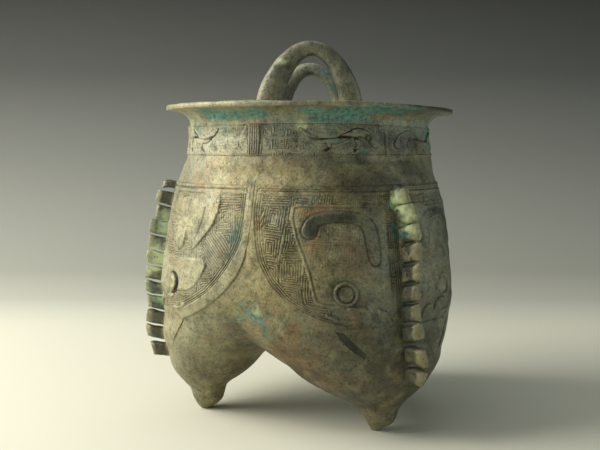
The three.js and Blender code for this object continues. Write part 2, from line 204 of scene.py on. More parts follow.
# Dragon band round the neck
BAND_BOTTOM = 150.2
BAND_TOP = 168.6
BAND_COLUMNS = 1360
BAND_ROWS = 58
DRAGON_PAIRS = 3
DRAGON_BODY = [
    (7.5, 157.5, 5.5), (11.5, 161.5, 5.2), (18, 163.6, 5), (25, 161, 4.4), (31, 158.8, 4), (38, 159, 3.8),
    (44, 161.5, 3.4), (48.5, 165, 2.2),
]
DRAGON_LEGS = [
    [(19, 161, 3.4), (17.5, 157, 3.2), (20, 153.8, 2.4)],
    [(34, 158.5, 3), (33.5, 155.5, 2.8), (36.5, 153.6, 2)],
]
DRAGON_EYE = (12.2, 160.6)
DIVIDERS = [71.1, 72.4, 73.7]
DIVIDER_HALF_WIDTH = 0.6
# Deep lines of the band: x, z and width
NECK_CUTS = [
    [(67, 161.5, 1.0), (60, 160, 1.5), (50, 161, 1.2), (40, 160, 1.6), (29, 161, 1.2), (14, 160, 1.2)],
    [
        (68, 152.8, 1.0), (58, 153.8, 1.8), (47, 153, 1.2), (38, 155, 2.0), (27, 153.6, 1.4),
        (12, 154.4, 1.6),
    ],
    [(50, 163, 1.0), (48.5, 158, 1.8), (51, 153.5, 1.4)],
    [(68.6, 159.5, 0.9), (67.6, 156, 1.3), (68.4, 152.6, 1.0)],
    [(68.2, 167, 0.7), (64.5, 160, 0.9), (68, 152.4, 0.7)],
    [(30, 166, 1.0), (27, 163.4, 1.3), (22, 164.6, 1.0)],
]
NECK_DRAWING_RADIUS = 70.4

# Handles
HANDLE_DISTANCE = 69.0
HANDLE_HALF_WIDTH = 27.4
HANDLE_HEIGHT = 31.5
HANDLE_HOLE_HALF_WIDTH = 14.1
HANDLE_HOLE_HEIGHT = 23.0
HANDLE_HOLE_SHIFT = 1.4
HANDLE_THICKNESS = 9.0
HANDLE_ROOT = 1.8
ARCH_POWER = 1.4
HANDLE_STEPS = 72
HANDLE_SIDES = 28
HANDLE_SQUARENESS = 2.6
# How much rougher the handles are than the body
HANDLE_BUMPS = 1.4

# Flanges
FLANGE_BOTTOM = 32.0
BOW_RISES = (60, 98)
BOW_FADES = (108, 134)
TOOTH_GAP = 1.3
TOOTH_PROJECTION = 10.6
TOOTH_ROOT = 2.5
TOOTH_THICKNESS = 4.6
TOOTH_EDGE_THICKNESS = 3.6
TOOTH_RISE = 2.9
TOOTH_ROUNDING = 0.8
TOOTH_CELLS = 8
# Teeth that differ: pouch and number from the lowest, share of the full length and height,
# how far the tooth is lifted, and how far its outer end has bent up
WORN_TEETH = {
    ("left", 11): (0.8, 0.55, 1.4, -1.8),
    ("left", 10): (0.94, 1.0, 0, 0.3),
    ("left", 9): (0.86, 1.1, -0.4, -0.5),
    ("left", 8): (1.0, 1.08, -0.2, 0),
    ("left", 4): (1.04, 0.95, 0, 0.4),
    ("left", 0): (0.95, 1.05, -1.0, -1.2),
    ("front", 9): (0.82, 0.95, -0.3, -0.6),
    ("front", 8): (0.92, 1.04, -0.1, -0.3),
    ("front", 6): (1.0, 1.03, 0, 0.3),
    ("front", 4): (0.9, 0.98, 0, 0.4),
    ("front", 3): (0.88, 1.04, 0.3, -0.6),
    ("front", 2): (0.95, 0.96, 0.4, 0.3),
    ("front", 1): (1.08, 1.0, 0.3, -3.2),
    ("front", 0): (0.98, 0.94, 0.2, -3.4),
    ("back", 3): (0.85, 1.0, 0, 0.6),
    ("back", 8): (0.92, 1.04, 0, -0.5),
}

# Heights that hold all the teeth, and how far out their sides and their outer edges begin
FLANGE_REACH = (28, 142)
FLANGE_SIDE = (0.2, 1.5)
FLANGE_EDGE = (7.0, 9.5)
# How far a tooth's outer end is knocked about, as (size of the bumps, their height)
TOOTH_JITTER = (5.0, 0.75)
TOOTH_PITS = (1.8, 0.35)

# Noises, as (size, strength, seed): the cast surface's bumps in millimetres, where the relief
# is worn down, and how ragged a stain is
CAST_BUMPS = [(26.0, 0.45, 0), (9.0, 0.16, 1), (3.2, 0.07, 2)]
WEAR_NOISE = [(12.0, 1.0, 31), (5.0, 0.6, 32)]
STAIN_NOISE = [(6.0, 0.6, 41), (2.4, 0.45, 42)]
# The share of its height that the most worn relief keeps
LEAST_WEAR = 0.45

# Corrosion, with some painted light and shade: every stain is a soft patch at a turn about
# the axis in degrees, a height, a reach in millimetres across and up, and a strength
TURQUOISE = [
    (-70, 173.5, 12, 3.5, 0.5), (-47, 172.5, 13, 4.5, 1.1), (-36, 172, 10, 4, 1.0),
    (-24, 173, 10, 3, 0.8), (-38, 166, 8, 6, 0.55), (-62, 166, 12, 8, 0.45), (2, 174.2, 9, 1.6, 1.2),
    (14, 174.4, 14, 1.7, 1.4), (27, 174.6, 12, 1.7, 1.3), (38, 175, 12, 1.8, 1.1),
    (6, 170.3, 8, 1.7, 1.2), (16, 170.4, 9, 1.8, 1.3), (23, 170.8, 5, 1.6, 1.0), (10, 164, 7, 5, 0.5),
    (44, 174, 10, 1.8, 0.7), (11, 158.5, 5, 3, 0.45), (52, 166, 10, 7, 0.35), (72, 162, 12, 12, 0.55),
    (-36, 162, 5, 4, 0.5), (-12, 158, 5, 3, 0.4), (24, 153, 6, 4, 0.4), (-84, 104, 9, 22, 0.55),
    (-84, 70, 9, 20, 0.5), (-84, 44, 8, 8, 0.35), (2, 190, 6, 14, 0.3), (172, 196, 14, 20, 0.4),
    (-29, 110, 9, 12, 0.42), (-24, 80, 7, 11, 0.42), (-18, 66, 6, 9, 0.45), (-29, 66, 6, 6, 0.36),
    (-17, 57, 8, 5, 0.42), (-12, 90, 6, 5, 0.4), (-58, 118, 12, 6, 0.2), (-22, 74, 10, 16, 0.5),
    (-14, 64, 8, 8, 0.4), (-50, 60, 10, 8, 0.3), (30, 60, 10, 14, 0.3), (32.6, 124, 3.0, 9, 0.9),
    (33.4, 112, 3.2, 7, 0.9), (40, 118, 2.8, 8, 0.9), (33, 70, 4, 12, 0.3), (38, 52, 6, 10, 0.3),
    (42, 108, 6, 3, 0.3), (62, 95, 12, 14, 0.2), (72, 70, 6, 20, 0.3), (150, 173, 16, 4.5, 0.9),
    (110, 173, 18, 4.5, 0.7), (-130, 172, 20, 4.5, 0.9), (155, 95, 8, 22, 0.5), (100, 85, 12, 18, 0.45),
    (-150, 90, 12, 20, 0.45), (-110, 172, 14, 5, 0.6),
]
PALE_CRUST = [
    (35.4, 127, 4.4, 7, 1.9), (36.6, 117, 3.6, 6, 1.8), (38.2, 107, 2.2, 5, 1.1), (38, 66, 4, 12, 0.4),
    (37, 47, 7, 2.4, 0.7), (36, 36, 5, 3, 0.6), (-22, 84, 8, 6, 0.6), (-19, 72, 7, 6, 0.6),
    (-24, 112, 8, 5, 0.5), (-13, 119, 4, 3, 0.5), (80, 163, 9, 12, 0.55), (-4, 167, 4.5, 3.6, 1.0),
    (-2, 151, 4, 2, 0.4), (14, 152, 9, 2, 0.5), (-32, 134, 8, 1.8, 0.4), (-84, 92, 8, 40, 0.7),
    (-18, 188, 7, 9, 0.55), (-12, 202, 9, 6, 0.62), (16, 206, 9, 5, 0.45), (176, 190, 10, 18, 0.4),
    (-48, 169, 7, 5, 0.6), (-68, 168, 12, 8, 0.5), (-58, 100, 10, 6, 0.25), (-76, 158, 20, 12, 0.3),
    (-14, 116, 5, 3, 0.5), (-24, 72, 8, 8, 0.3), (156, 112, 5, 10, 0.8), (-170, 60, 14, 12, 0.25),
    (120, 150, 12, 8, 0.3),
]
WARM_RUST = [
    (0, 123.5, 13, 3.6, 0.8), (-8, 100, 9, 14, 0.35), (-12, 74, 9, 10, 0.7), (-7, 58, 10, 9, 0.75),
    (-14, 134, 16, 5, 0.4), (8, 92, 14, 8, 0.35), (-8, 42, 20, 12, 1.2), (6, 32, 20, 8, 0.9),
    (8, 54, 16, 10, 0.45), (-56, 148, 22, 7, 0.35), (-12, 147, 24, 7, 0.42), (-24, 166, 9, 6, 0.5),
    (-52, 166, 8, 5, 0.35), (82, 60, 14, 20, 0.6), (20, 12, 14, 9, 0.6), (-50, 48, 20, 10, 0.25),
    (36, 40, 5, 5, 0.6), (-20, 62, 10, 8, 0.35), (120, 70, 18, 16, 0.8), (-160, 130, 24, 14, 0.6),
    (-110, 50, 18, 12, 0.5), (60, 150, 18, 8, 0.3),
]
# Darker, smoother skin in patches, partly painted shade: those on the front flange's teeth (near 37 to 38
# degrees) and on the neck and shoulder between about 20 and 60 degrees, on the side away from the key light
DARK_SKIN_AND_SHADE = [
    (30, 42, 62, 40, 0.8), (-62, 24, 26, 20, 0.5), (-32, 48, 16, 16, 0.5), (95, 30, 50, 34, 0.6),
    (160, 40, 50, 34, 0.6), (-120, 30, 40, 28, 0.5), (2, 114, 7, 5, 0.9), (12, 118.5, 12, 3, 0.9),
    (24, 110, 6, 9, 0.5), (18, 62, 18, 12, 0.35), (44, 45, 18, 20, 0.7), (38, 74, 5, 34, 0.7),
    (37, 52, 8, 16, 0.8), (30, 95, 4, 34, 0.4), (46, 142, 24, 14, 0.6), (22, 149, 10, 5, 0.7),
    (48, 158, 26, 10, 0.6), (70, 100, 24, 50, 0.5), (24, 70, 20, 30, 0.4), (-36, 42, 18, 12, 0.6),
    (-34, 60, 10, 8, 0.5), (0, 196, 60, 22, 0.66), (180, 196, 60, 22, 0.5), (30, 138, 16, 7, 0.7),
    (60, 176, 40, 5, 0.9), (4, 148, 26, 9, 0.4), (20, 136, 24, 12, 0.6), (-10, 160, 24, 9, 0.5),
    (12, 84, 26, 26, 0.35), (28, 66, 16, 24, 0.45), (22, 122, 14, 8, 0.6), (30, 161, 26, 9, 0.7),
    (20, 20, 22, 18, 0.5), (-70, 12, 16, 12, 0.4), (130, 120, 16, 14, 0.5), (-100, 60, 14, 10, 0.3),
    (170, 30, 20, 20, 0.5),
]
# Skin worn to a light olive, and painted light: these patches all lie on the -X side, where the key light
# falls
LIGHT_SKIN_AND_PAINTED_LIGHT = [
    (-78, 92, 30, 34, 1.0), (-62, 108, 18, 22, 0.8), (-56, 80, 22, 20, 1.0), (-80, 50, 26, 22, 1.0),
    (-62, 148, 30, 8, 0.35), (-70, 160, 24, 14, 1.0), (-55, 179, 40, 4, 0.6), (-20, 179, 40, 4, 0.4),
    (-38, 118, 9, 24, 0.9), (-32, 84, 9, 12, 0.6), (-84, 130, 10, 10, 0.6), (-60, 48, 16, 14, 0.6),
]
# Skin with a cooler, greyer green
COOL_SKIN = [
    (0, 163, 500, 13, 0.85), (0, 196, 60, 22, 0.8), (180, 196, 60, 22, 0.8), (-84, 85, 12, 62, 1.0),
    (75, 100, 40, 70, 0.8), (48, 120, 24, 24, 0.5), (30, 100, 12, 30, 0.35), (-35, 120, 12, 20, 0.3),
    (130, 80, 40, 40, 0.4), (-130, 100, 30, 40, 0.4),
]

# Colours of the bronze and its crusts, as eight-bit sRGB values
BRONZE_OLIVE = (150, 141, 100)
BRONZE_DARK = (84, 80, 58)
BRONZE_PALE = (192, 186, 148)
BROWN_PATINA = (142, 114, 78)
GREY_PATINA = (128, 130, 108)
GREY_GREEN = (160, 168, 150)
TURQUOISE_CRUST = (94, 152, 142)
DEEP_GREEN = (56, 94, 84)
CHALK_CRUST = (200, 212, 160)
# Soil and painted shade in the lines and hollows of the relief, and in small pits
SOIL_AND_SHADE = (48, 42, 30)
WORN_EDGE = (138, 134, 98)
# Darker, smoother skin, and painted shade
SMOOTH_DARK_AND_SHADE = (76, 75, 62)
GRAIN_DARK = (120, 118, 108)
HORN_GREEN = (72, 78, 62)

# The floor and the backdrop that it curves up into, in metres
SWEEP_NEAR = -1.2
SWEEP_BEND = 0.22
SWEEP_RADIUS = 0.5
SWEEP_TOP = 1.3
SWEEP_HALF_WIDTH = 2.0
# The backdrop's colour at each height over the floor, in metres, darkening upwards: painted shade of the
# light falling off
BACKDROP_PAINTED_SHADE = [
    (0.0, (217, 215, 195)), (0.012, (180, 180, 166)), (0.03, (158, 158, 146)), (0.07, (146, 147, 137)),
    (0.15, (121, 122, 115)), (0.25, (86, 87, 83)), (0.37, (61, 62, 59)),
]

# Lights: place and size in metres, power in watts, and colour
LIGHTS_AIM = (0.0, 0.0, 0.10)
LIGHTS = {
    "key": ((-0.77, -0.08, 0.57), (0.75, 0.75), 14.8, (1.0, 0.98, 0.94)),
    "near_left": ((-0.5, -0.9, 0.55), (0.6, 0.6), 1.5, (1.0, 0.98, 0.95)),
    "fill": ((0.95, -0.3, 0.32), (0.6, 0.6), 2.1, (0.8, 0.93, 1.0)),
    "top": ((-0.05, 0.2, 1.2), (0.9, 0.8), 2.8, (0.96, 1.0, 1.0)),
}
WORLD_COLOR = (0.85, 0.92, 0.95, 1)
WORLD_STRENGTH = 0.06

# Camera: at the photograph's distance and height, a little above the rim's level
CAMERA_DISTANCE = 575.56
CAMERA_HEIGHT = 156.3
CAMERA_PITCH = 4.68
CAMERA_YAW = 0.556
CAMERA_FOCAL_PIXELS = 968.7
PHOTO_WIDTH = 600
SENSOR_WIDTH = 36.0


def smooth_curve(stations):
    """A curve through (x, y) stations that never swings past them."""
    xs, ys = np.array(stations, float).T
    rises = np.diff(ys) / np.diff(xs)
    product = rises[:-1] * rises[1:]
    together = np.where(product > 0, rises[:-1] + rises[1:], 1)
    inner = np.where(product > 0, 2 * product / together, 0)
    slopes = np.concatenate([rises[:1], inner, rises[-1:]])

    def curve(x):
        x = np.asarray(x, float)
        i = np.clip(np.searchsorted(xs, x) - 1, 0, len(xs) - 2)
        width = xs[i + 1] - xs[i]
        t = np.clip((x - xs[i]) / width, 0, 1)
        to_second = t * t * (3 - 2 * t)
        first_slope = t * (1 - t) ** 2 * slopes[i]
        second_slope = t * t * (t - 1) * slopes[i + 1]
        return ys[i] + (ys[i + 1] - ys[i]) * to_second + width * (first_slope + second_slope)

    return curve


reach = smooth_curve(POUCH_REACH)
centre = smooth_curve(POUCH_CENTRE)
neck_radius = smooth_curve(NECK_OUTLINE)
swell = {name: smooth_curve(stations) for name, stations in SWELL.items()}
shift = {name: smooth_curve(stations) for name, stations in SHIFT.items()}


def ramp(x, low, high):
    """0 below low, 1 above high, and smooth between."""
    t = np.clip((x - low) / (high - low), 0, 1)
    return t * t * (3 - 2 * t)


def middle_at(pouch, z):
    """How far the centre of a pouch's circle is from the neck's axis at height z."""
    return centre(z) + shift[pouch["name"]](z)


def girth(pouch, z):
    """The radius of a pouch's circle at height z."""
    return reach(z) - centre(z) + swell[pouch["name"]](z)


def direction(pouch):
    """A pouch's direction from the neck's axis, as x and y of a unit length."""
    turn = math.radians(pouch["turn"])
    return math.sin(turn), -math.cos(turn)


def beside(pouch, out, aside, z):
    """A point out along the pouch's direction and aside from it."""
    dx, dy = direction(pouch)
    return np.stack([out * dx - aside * dy, out * dy + aside * dx, z + 0 * out], -1) + AXIS


# Noise


def hashed(ix, iy, iz, seed):
    """A repeatable number from 0 to 1 for each lattice point."""
    n = (ix * 374761393 + iy * 668265263 + iz * 2147483647 + seed * 1274126177) & 0xFFFFFFFF
    n = ((n ^ (n >> 13)) * 1274126177) & 0xFFFFFFFF
    n = ((n ^ (n >> 16)) * 2246822519) & 0xFFFFFFFF
    return ((n ^ (n >> 15)) & 0xFFFFFF) / 0xFFFFFF


def noise(points, size, seed=0):
    """Smooth value noise from -1 to 1 with bumps of a given size."""
    p = points / size + 1000.0
    cell = np.floor(p).astype(np.int64)
    t = p - cell
    t = t * t * (3 - 2 * t)
    total = np.zeros(points.shape[:-1])
    for corner in range(8):
        step = [(corner >> axis) & 1 for axis in range(3)]
        weight = np.ones_like(total)
        for axis in range(3):
            weight = weight * (t[..., axis] if step[axis] else 1 - t[..., axis])
        value = hashed(cell[..., 0] + step[0], cell[..., 1] + step[1], cell[..., 2] + step[2], seed)
        total += weight * value
    return 2 * total - 1


def mixed_noise(points, listed):
    """A sum of noises of given sizes, strengths and seeds."""
    return sum(strength * noise(points, size, seed) for size, strength, seed in listed)


def cast_bumps(points):
    """How far the uneven cast surface stands out at each point."""
    return mixed_noise(points, CAST_BUMPS)


def sagged(points):
    """The same points with the rim let down on the +X side."""
    across = ramp(points[..., 0] - AXIS[0], *SAG_ACROSS)
    lowered = points.copy()
    lowered[..., 2] -= RIM_SAG * across * ramp(points[..., 2], *SAG_UP)
    return lowered


# Meshes


def make_piece(name, points, faces):
    """A mesh object from points in millimetres and faces that list them."""
    mesh = bpy.data.meshes.new(name)
    points = np.asarray(points, np.float32) * MM
    faces = np.asarray(faces, np.int32)
    mesh.vertices.add(len(points))
    mesh.vertices.foreach_set("co", points.ravel())
    corners = faces.shape[1]
    mesh.loops.add(faces.size)
    mesh.loops.foreach_set("vertex_index", faces.ravel())
    mesh.polygons.add(len(faces))
    mesh.polygons.foreach_set("loop_start", np.arange(len(faces), dtype=np.int32) * corners)
    mesh.update(calc_edges=True)
    mesh.validate()
    mesh.shade_smooth()
    piece = bpy.data.objects.new(name, mesh)
    bpy.context.scene.collection.objects.link(piece)
    return piece


def grid_faces(rows, columns, closed):
    """Triangles of a grid of rows by columns, whose columns may close round."""
    last = columns if closed else columns - 1
    row, column = np.meshgrid(np.arange(rows - 1), np.arange(last), indexing="ij")
    a = (row * columns + column).ravel()
    b = (row * columns + (column + 1) % columns).ravel()
    first = np.stack([a, b, b + columns], -1)
    second = np.stack([a, b + columns, a + columns], -1)
    return np.concatenate([first, second])


def grid_normals(points, closed_columns=True):
    """Unit normals of a grid of points whose rows run one way and columns the other."""
    along = np.gradient(points, axis=0)
    if closed_columns:
        across = np.roll(points, -1, axis=1) - np.roll(points, 1, axis=1)
    else:
        across = np.gradient(points, axis=1)
    normals = np.cross(across, along)
    return normals / np.maximum(np.linalg.norm(normals, axis=-1, keepdims=True), 1e-9)


# The body of the vessel


def smooth_most(values, blend):
    """The largest of several arrays, rounded where two are nearly equal."""
    stacked = np.stack(values)
    top = stacked.max(axis=0)
    return top + blend * np.log(np.exp((stacked - top) / blend).sum(axis=0))


def circle_depth(r, turn, pouch, middle, radius):
    """How far inside a circle a point lies, whose centre is out along a pouch's direction."""
    delta = turn - math.radians(pouch["turn"])
    away = np.sqrt(np.maximum(r * r + middle * middle - 2 * r * middle * np.cos(delta), 0))
    return radius - away


def outside_depth(r, turn, z):
    """How far inside the vessel's outer skin a point lies, measured level."""
    depths = []
    for pouch in POUCHES:
        depth = circle_depth(r, turn, pouch, middle_at(pouch, z), girth(pouch, z))
        depths.append(np.where((z > 0) & (z < POUCH_TOP), depth, -FARTHEST))
    neck = np.where(z > NECK_FOOT, neck_radius(z) - r, -FARTHEST)
    return smooth_most(depths + [neck], CREASE_BLEND)


def inner_face(pouch, side):
    """Where the wall's inner face lies, on the pouch's outer (+1) or inner (-1) side."""
    step = 0.5
    heights = np.arange(1, POUCH_TOP - step, step)

    def edge(z):
        return middle_at(pouch, z) + side * girth(pouch, z)

    lean = (edge(heights + step) - edge(heights - step)) / (2 * step)
    across = WALL / np.hypot(1, lean)
    z = heights + side * across * lean
    distance = edge(heights) - side * across
    rising = np.concatenate([[True], z[1:] > np.maximum.accumulate(z)[:-1]])
    return lambda height: np.interp(height, z[rising], distance[rising])


HOLLOWS = [(inner_face(pouch, 1), inner_face(pouch, -1)) for pouch in POUCHES]


def hollow_depth(r, turn, z):
    """How far inside the hollow a point lies, measured level."""
    depths = []
    for pouch, (outer, inner) in zip(POUCHES, HOLLOWS):
        middle = (outer(z) + inner(z)) / 2
        depth = circle_depth(r, turn, pouch, middle, (outer(z) - inner(z)) / 2)
        depths.append(np.where((z > HOLLOW_FLOOR) & (z < HOLLOW_TOP), depth, -FARTHEST))
    neck = np.where(z > NECK_FOOT, MOUTH_RADIUS - r, -FARTHEST)
    return smooth_most(depths + [neck], CREASE_BLEND)


def bisect(depth_at, near, far, steps=34):
    """The distance where depth_at turns from inside to outside."""
    for _ in range(steps):
        middle = (near + far) / 2
        inside = depth_at(middle) > 0
        near = np.where(inside, middle, near)
        far = np.where(inside, far, middle)
    return (near + far) / 2


def level_rows(depth, turns, heights):
    """(radius, height) of a skin along level rows."""
    z, turn = np.meshgrid(heights, turns, indexing="ij")
    start = np.zeros_like(z)
    radius = bisect(lambda r: depth(r, turn, z), start, start + FARTHEST)
    return radius, z


def ray_rows(depth, turns, rows):
    """(radius, height) of a skin from the equator down to the axis, evenly spaced."""
    pole = bisect(lambda z: depth(0 * z, 0 * z, EQUATOR - z), np.zeros(1), np.full(1, EQUATOR))[0]
    last = math.atan2(-pole, -RAY_RADIUS)
    angle, turn = np.meshgrid(np.linspace(0, last, RAY_SAMPLES), turns, indexing="ij")
    to_axis = RAY_RADIUS / np.maximum(-np.cos(angle), RAY_RADIUS / FARTHEST)

    def depth_at(t):
        return depth(RAY_RADIUS + t * np.cos(angle), turn, EQUATOR + t * np.sin(angle))

    t = bisect(depth_at, np.zeros_like(angle), np.minimum(FARTHEST, to_axis))
    radius = np.maximum(RAY_RADIUS + t * np.cos(angle), 0)
    height = EQUATOR + t * np.sin(angle)
    length = np.hypot(np.diff(radius, axis=0), np.diff(height, axis=0)).cumsum(axis=0)
    length = np.concatenate([np.zeros((1, len(turns))), length]) / length[-1]
    even = np.linspace(0, 1, rows)
    radius = np.stack([np.interp(even, length[:, i], radius[:, i]) for i in range(len(turns))], 1)
    height = np.stack([np.interp(even, length[:, i], height[:, i]) for i in range(len(turns))], 1)
    radius[-1] = 0
    height[-1] = height[-1].mean()
    return radius, height


def lathe_rows(outline, columns):
    """(radius, height) rows of a turned outline."""
    radius, height = np.array(outline, float).T
    return np.repeat(radius[:, None], columns, 1), np.repeat(height[:, None], columns, 1)


def ring_points(radius, height, turns):
    """Points round the neck's axis."""
    points = np.stack([radius * np.sin(turns), -radius * np.cos(turns), height], -1)
    return points + AXIS


def rim_outline():
    """The rim from its underside beside the neck, over its edge to the mouth."""
    edge = RIM_RADIUS
    low = RIM_TOP - RIM_THICKNESS
    lip = [(edge - 0.5, low), (edge, low + 0.5), (edge, RIM_TOP - 0.6), (edge - 0.6, RIM_TOP)]
    under = [(radius, low) for radius in np.linspace(RIM_ROOT, edge - 1.5, RIM_UNDER_ROWS)]
    top = [(radius, RIM_TOP) for radius in np.linspace(edge - 2, MOUTH_RADIUS + 2, RIM_TOP_ROWS)]
    mouth = [(MOUTH_RADIUS + 0.7, RIM_TOP - 0.3), (MOUTH_RADIUS, RIM_TOP - 1.4)]
    return under + lip + top + mouth


def vessel_shell():
    """The outer skin, the rim and the hollow as one closed grid, from pole to pole."""
    turns = np.arange(COLUMNS) * 2 * math.pi / COLUMNS
    below = ray_rows(outside_depth, turns, RAY_ROWS)
    heights = np.linspace(EQUATOR, NECK_OUTLINE[-1][0], LEVEL_ROWS)[1:]
    beside_neck = level_rows(outside_depth, turns, heights)
    rim = lathe_rows(rim_outline(), COLUMNS)
    inner_heights = np.linspace(RIM_TOP - 4, EQUATOR, HOLLOW_LEVEL_ROWS)[:-1]
    inner_level = level_rows(hollow_depth, turns, inner_heights)
    inner_below = ray_rows(hollow_depth, turns, HOLLOW_RAY_ROWS)
    radius = np.concatenate([below[0][::-1], beside_neck[0], rim[0], inner_level[0], inner_below[0]])
    height = np.concatenate([below[1][::-1], beside_neck[1], rim[1], inner_level[1], inner_below[1]])
    points = ring_points(radius, height, turns)
    normals = grid_normals(points)
    bumped = points + normals * cast_bumps(points)[..., None] * np.minimum(radius / 8, 1)[..., None]
    floor = height < 0.4
    bumped[..., 2] = np.where(floor, 0, np.maximum(bumped[..., 2], 0))
    return capped_tube(bumped[1:-1], [bumped[0].mean(axis=0), bumped[-1].mean(axis=0)])


def superellipse(sides, power):
    """x and y round a circle that is squarer with more power."""
    turn = np.arange(sides) * 2 * math.pi / sides
    x, y = np.cos(turn), np.sin(turn)
    return np.sign(x) * np.abs(x) ** (2 / power), np.sign(y) * np.abs(y) ** (2 / power)


def capped_tube(rings, ends):
    """Points and faces of a tube through rings of points, closed by fans to its two ends."""
    count, sides = rings.shape[:2]
    points = rings.reshape(-1, 3)
    faces = grid_faces(count, sides, True)
    side = np.arange(sides)
    following = (side + 1) % sides
    last = (count - 1) * sides
    first_fan = np.stack([following, side, np.full(sides, len(points))], -1)
    last_fan = np.stack([last + side, last + following, np.full(sides, len(points) + 1)], -1)
    return np.concatenate([points, ends]), np.concatenate([faces, first_fan, last_fan])


def arch(half_width, height, shift, steps):
    """Points from the left foot of an arch to its right foot, in x and z."""
    swing = np.sin(np.linspace(-math.pi / 2, math.pi / 2, steps))
    x = shift + half_width * swing
    z = height * (1 - swing * swing) ** (1 / ARCH_POWER)
    return np.stack([x, z], -1)


def handle(side):
    """An arched handle on the near (-1) or far (+1) side, sunk a little into the rim."""
    outer = arch(HANDLE_HALF_WIDTH, HANDLE_HEIGHT, 0, HANDLE_STEPS)
    inner = arch(HANDLE_HOLE_HALF_WIDTH, HANDLE_HOLE_HEIGHT, HANDLE_HOLE_SHIFT, HANDLE_STEPS)
    sink = np.array([0, -HANDLE_ROOT])
    outer = np.concatenate([outer[:1] + sink, outer, outer[-1:] + sink])
    inner = np.concatenate([inner[:1] + sink, inner, inner[-1:] + sink])
    middle = (outer + inner) / 2
    half = (outer - inner) / 2
    across, along = superellipse(HANDLE_SIDES, HANDLE_SQUARENESS)
    x = middle[:, :1] + half[:, :1] * across
    z = middle[:, 1:] + half[:, 1:] * across + RIM_TOP
    y = side * HANDLE_DISTANCE - HANDLE_THICKNESS / 2 * along + 0 * x
    rings = np.stack([x, y, z], -1) + AXIS
    normals = grid_normals(rings.transpose(1, 0, 2), False).transpose(1, 0, 2)
    outward = rings - rings.mean(axis=1, keepdims=True)
    normals = normals * np.sign((normals * outward).sum(-1, keepdims=True))
    rings = rings + normals * HANDLE_BUMPS * cast_bumps(rings)[..., None]
    return capped_tube(rings, [rings[0].mean(axis=0), rings[-1].mean(axis=0)])


def rounded_box(cells, rounding, size):
    """Points and faces of a box with rounded edges, centred on the origin."""
    points = []
    faces = []
    steps = np.linspace(-1, 1, cells + 1)
    half = np.array(size) / 2
    for axis in range(3):
        for sign in (-1, 1):
            u, v = np.meshgrid(steps, steps, indexing="ij")
            cube = np.zeros(u.shape + (3,))
            cube[..., axis] = sign
            cube[..., (axis + 1) % 3] = u
            cube[..., (axis + 2) % 3] = v
            spread = cube * half
            core = np.clip(spread, rounding - half, half - rounding)
            outward = spread - core
            length = np.linalg.norm(outward, axis=-1, keepdims=True)
            face = core + outward / np.maximum(length, 1e-9) * rounding
            start = sum(len(p) for p in points)
            points.append(face.reshape(-1, 3))
            grid = grid_faces(cells + 1, cells + 1, False) + start
            faces.append(grid if sign < 0 else grid[:, ::-1])
    return np.concatenate(points), np.concatenate(faces)


def flange_middle(pouch, z):
    """How far a flange stands aside from the middle of its pouch."""
    return pouch["bow"] * ramp(z, *BOW_RISES) * (1 - ramp(z, *BOW_FADES))


def knocked(points, size, height, seeds):
    """Shifts of points every way, from one noise for each axis."""
    return height * np.stack([noise(points, size, seed) for seed in seeds], -1)


def tooth(pouch, index):
    """One tooth of a flange: it leans up as it goes out and thins towards its edge."""
    longer, taller, lifted, bend = WORN_TEETH.get((pouch["name"], index), (1, 1, 0, 0))
    bottom = FLANGE_BOTTOM + index * pouch["pitch"] + lifted
    length = TOOTH_PROJECTION * longer + TOOTH_ROOT
    height = (pouch["pitch"] - TOOTH_GAP) * taller
    points, faces = rounded_box(TOOTH_CELLS, TOOTH_ROUNDING, (length, 1.0, height))
    out = points[:, 0] + length / 2
    up = points[:, 2] + height / 2
    along = out / length
    thick = TOOTH_THICKNESS + (TOOTH_EDGE_THICKNESS - TOOTH_THICKNESS) * along
    z = bottom + up + TOOTH_RISE * along + bend * along**2
    skin = middle_at(pouch, bottom + up) + girth(pouch, bottom + up)
    aside = flange_middle(pouch, bottom + up) + points[:, 1] * thick
    placed = beside(pouch, skin - TOOTH_ROOT + out, aside, z)
    knocks = knocked(placed, *TOOTH_JITTER, (11, 12, 13)) + knocked(placed, *TOOTH_PITS, (14, 15, 16))
    return placed + knocks * along[:, None], faces


def joined(parts):
    """Several (points, faces) as one."""
    points = []
    faces = []
    start = 0
    for part_points, part_faces in parts:
        points.append(part_points)
        faces.append(part_faces + start)
        start += len(part_points)
    return np.concatenate(points), np.concatenate(faces)


def make_vessel():
    """The whole casting: shell, handles and flanges."""
    parts = [vessel_shell(), handle(-1), handle(1)]
    for pouch in POUCHES:
        for index in range(pouch["teeth"]):
            parts.append(tooth(pouch, index))
    points, faces = joined(parts)
    return make_piece("ding_vessel_bronze", sagged(points), faces)


# Relief


def along_lines(points, lines):
    """The distance from points in a plane to a run of straight lines."""
    nearest = np.full(points.shape[:-1], 1e9)
    for start, end in zip(np.array(lines[:-1], float), np.array(lines[1:], float)):
        run = end - start
        share = np.clip(((points - start) @ run) / (run @ run), 0, 1)
        gap = points - start - share[..., None] * run
        nearest = np.minimum(nearest, np.hypot(gap[..., 0], gap[..., 1]))
    return nearest


def inside_outline(points, outline):
    """How far points lie inside a closed outline; less than 0 is outside."""
    closed = list(outline) + [outline[0]]
    distance = along_lines(points, closed)
    within = np.zeros(points.shape[:-1], bool)
    x, y = points[..., 0], points[..., 1]
    for (x0, y0), (x1, y1) in zip(closed[:-1], closed[1:]):
        if y0 != y1:
            crosses = (y0 > y) != (y1 > y)
            within ^= crosses & (x < x0 + (y - y0) * (x1 - x0) / (y1 - y0))
    return np.where(within, distance, -distance)


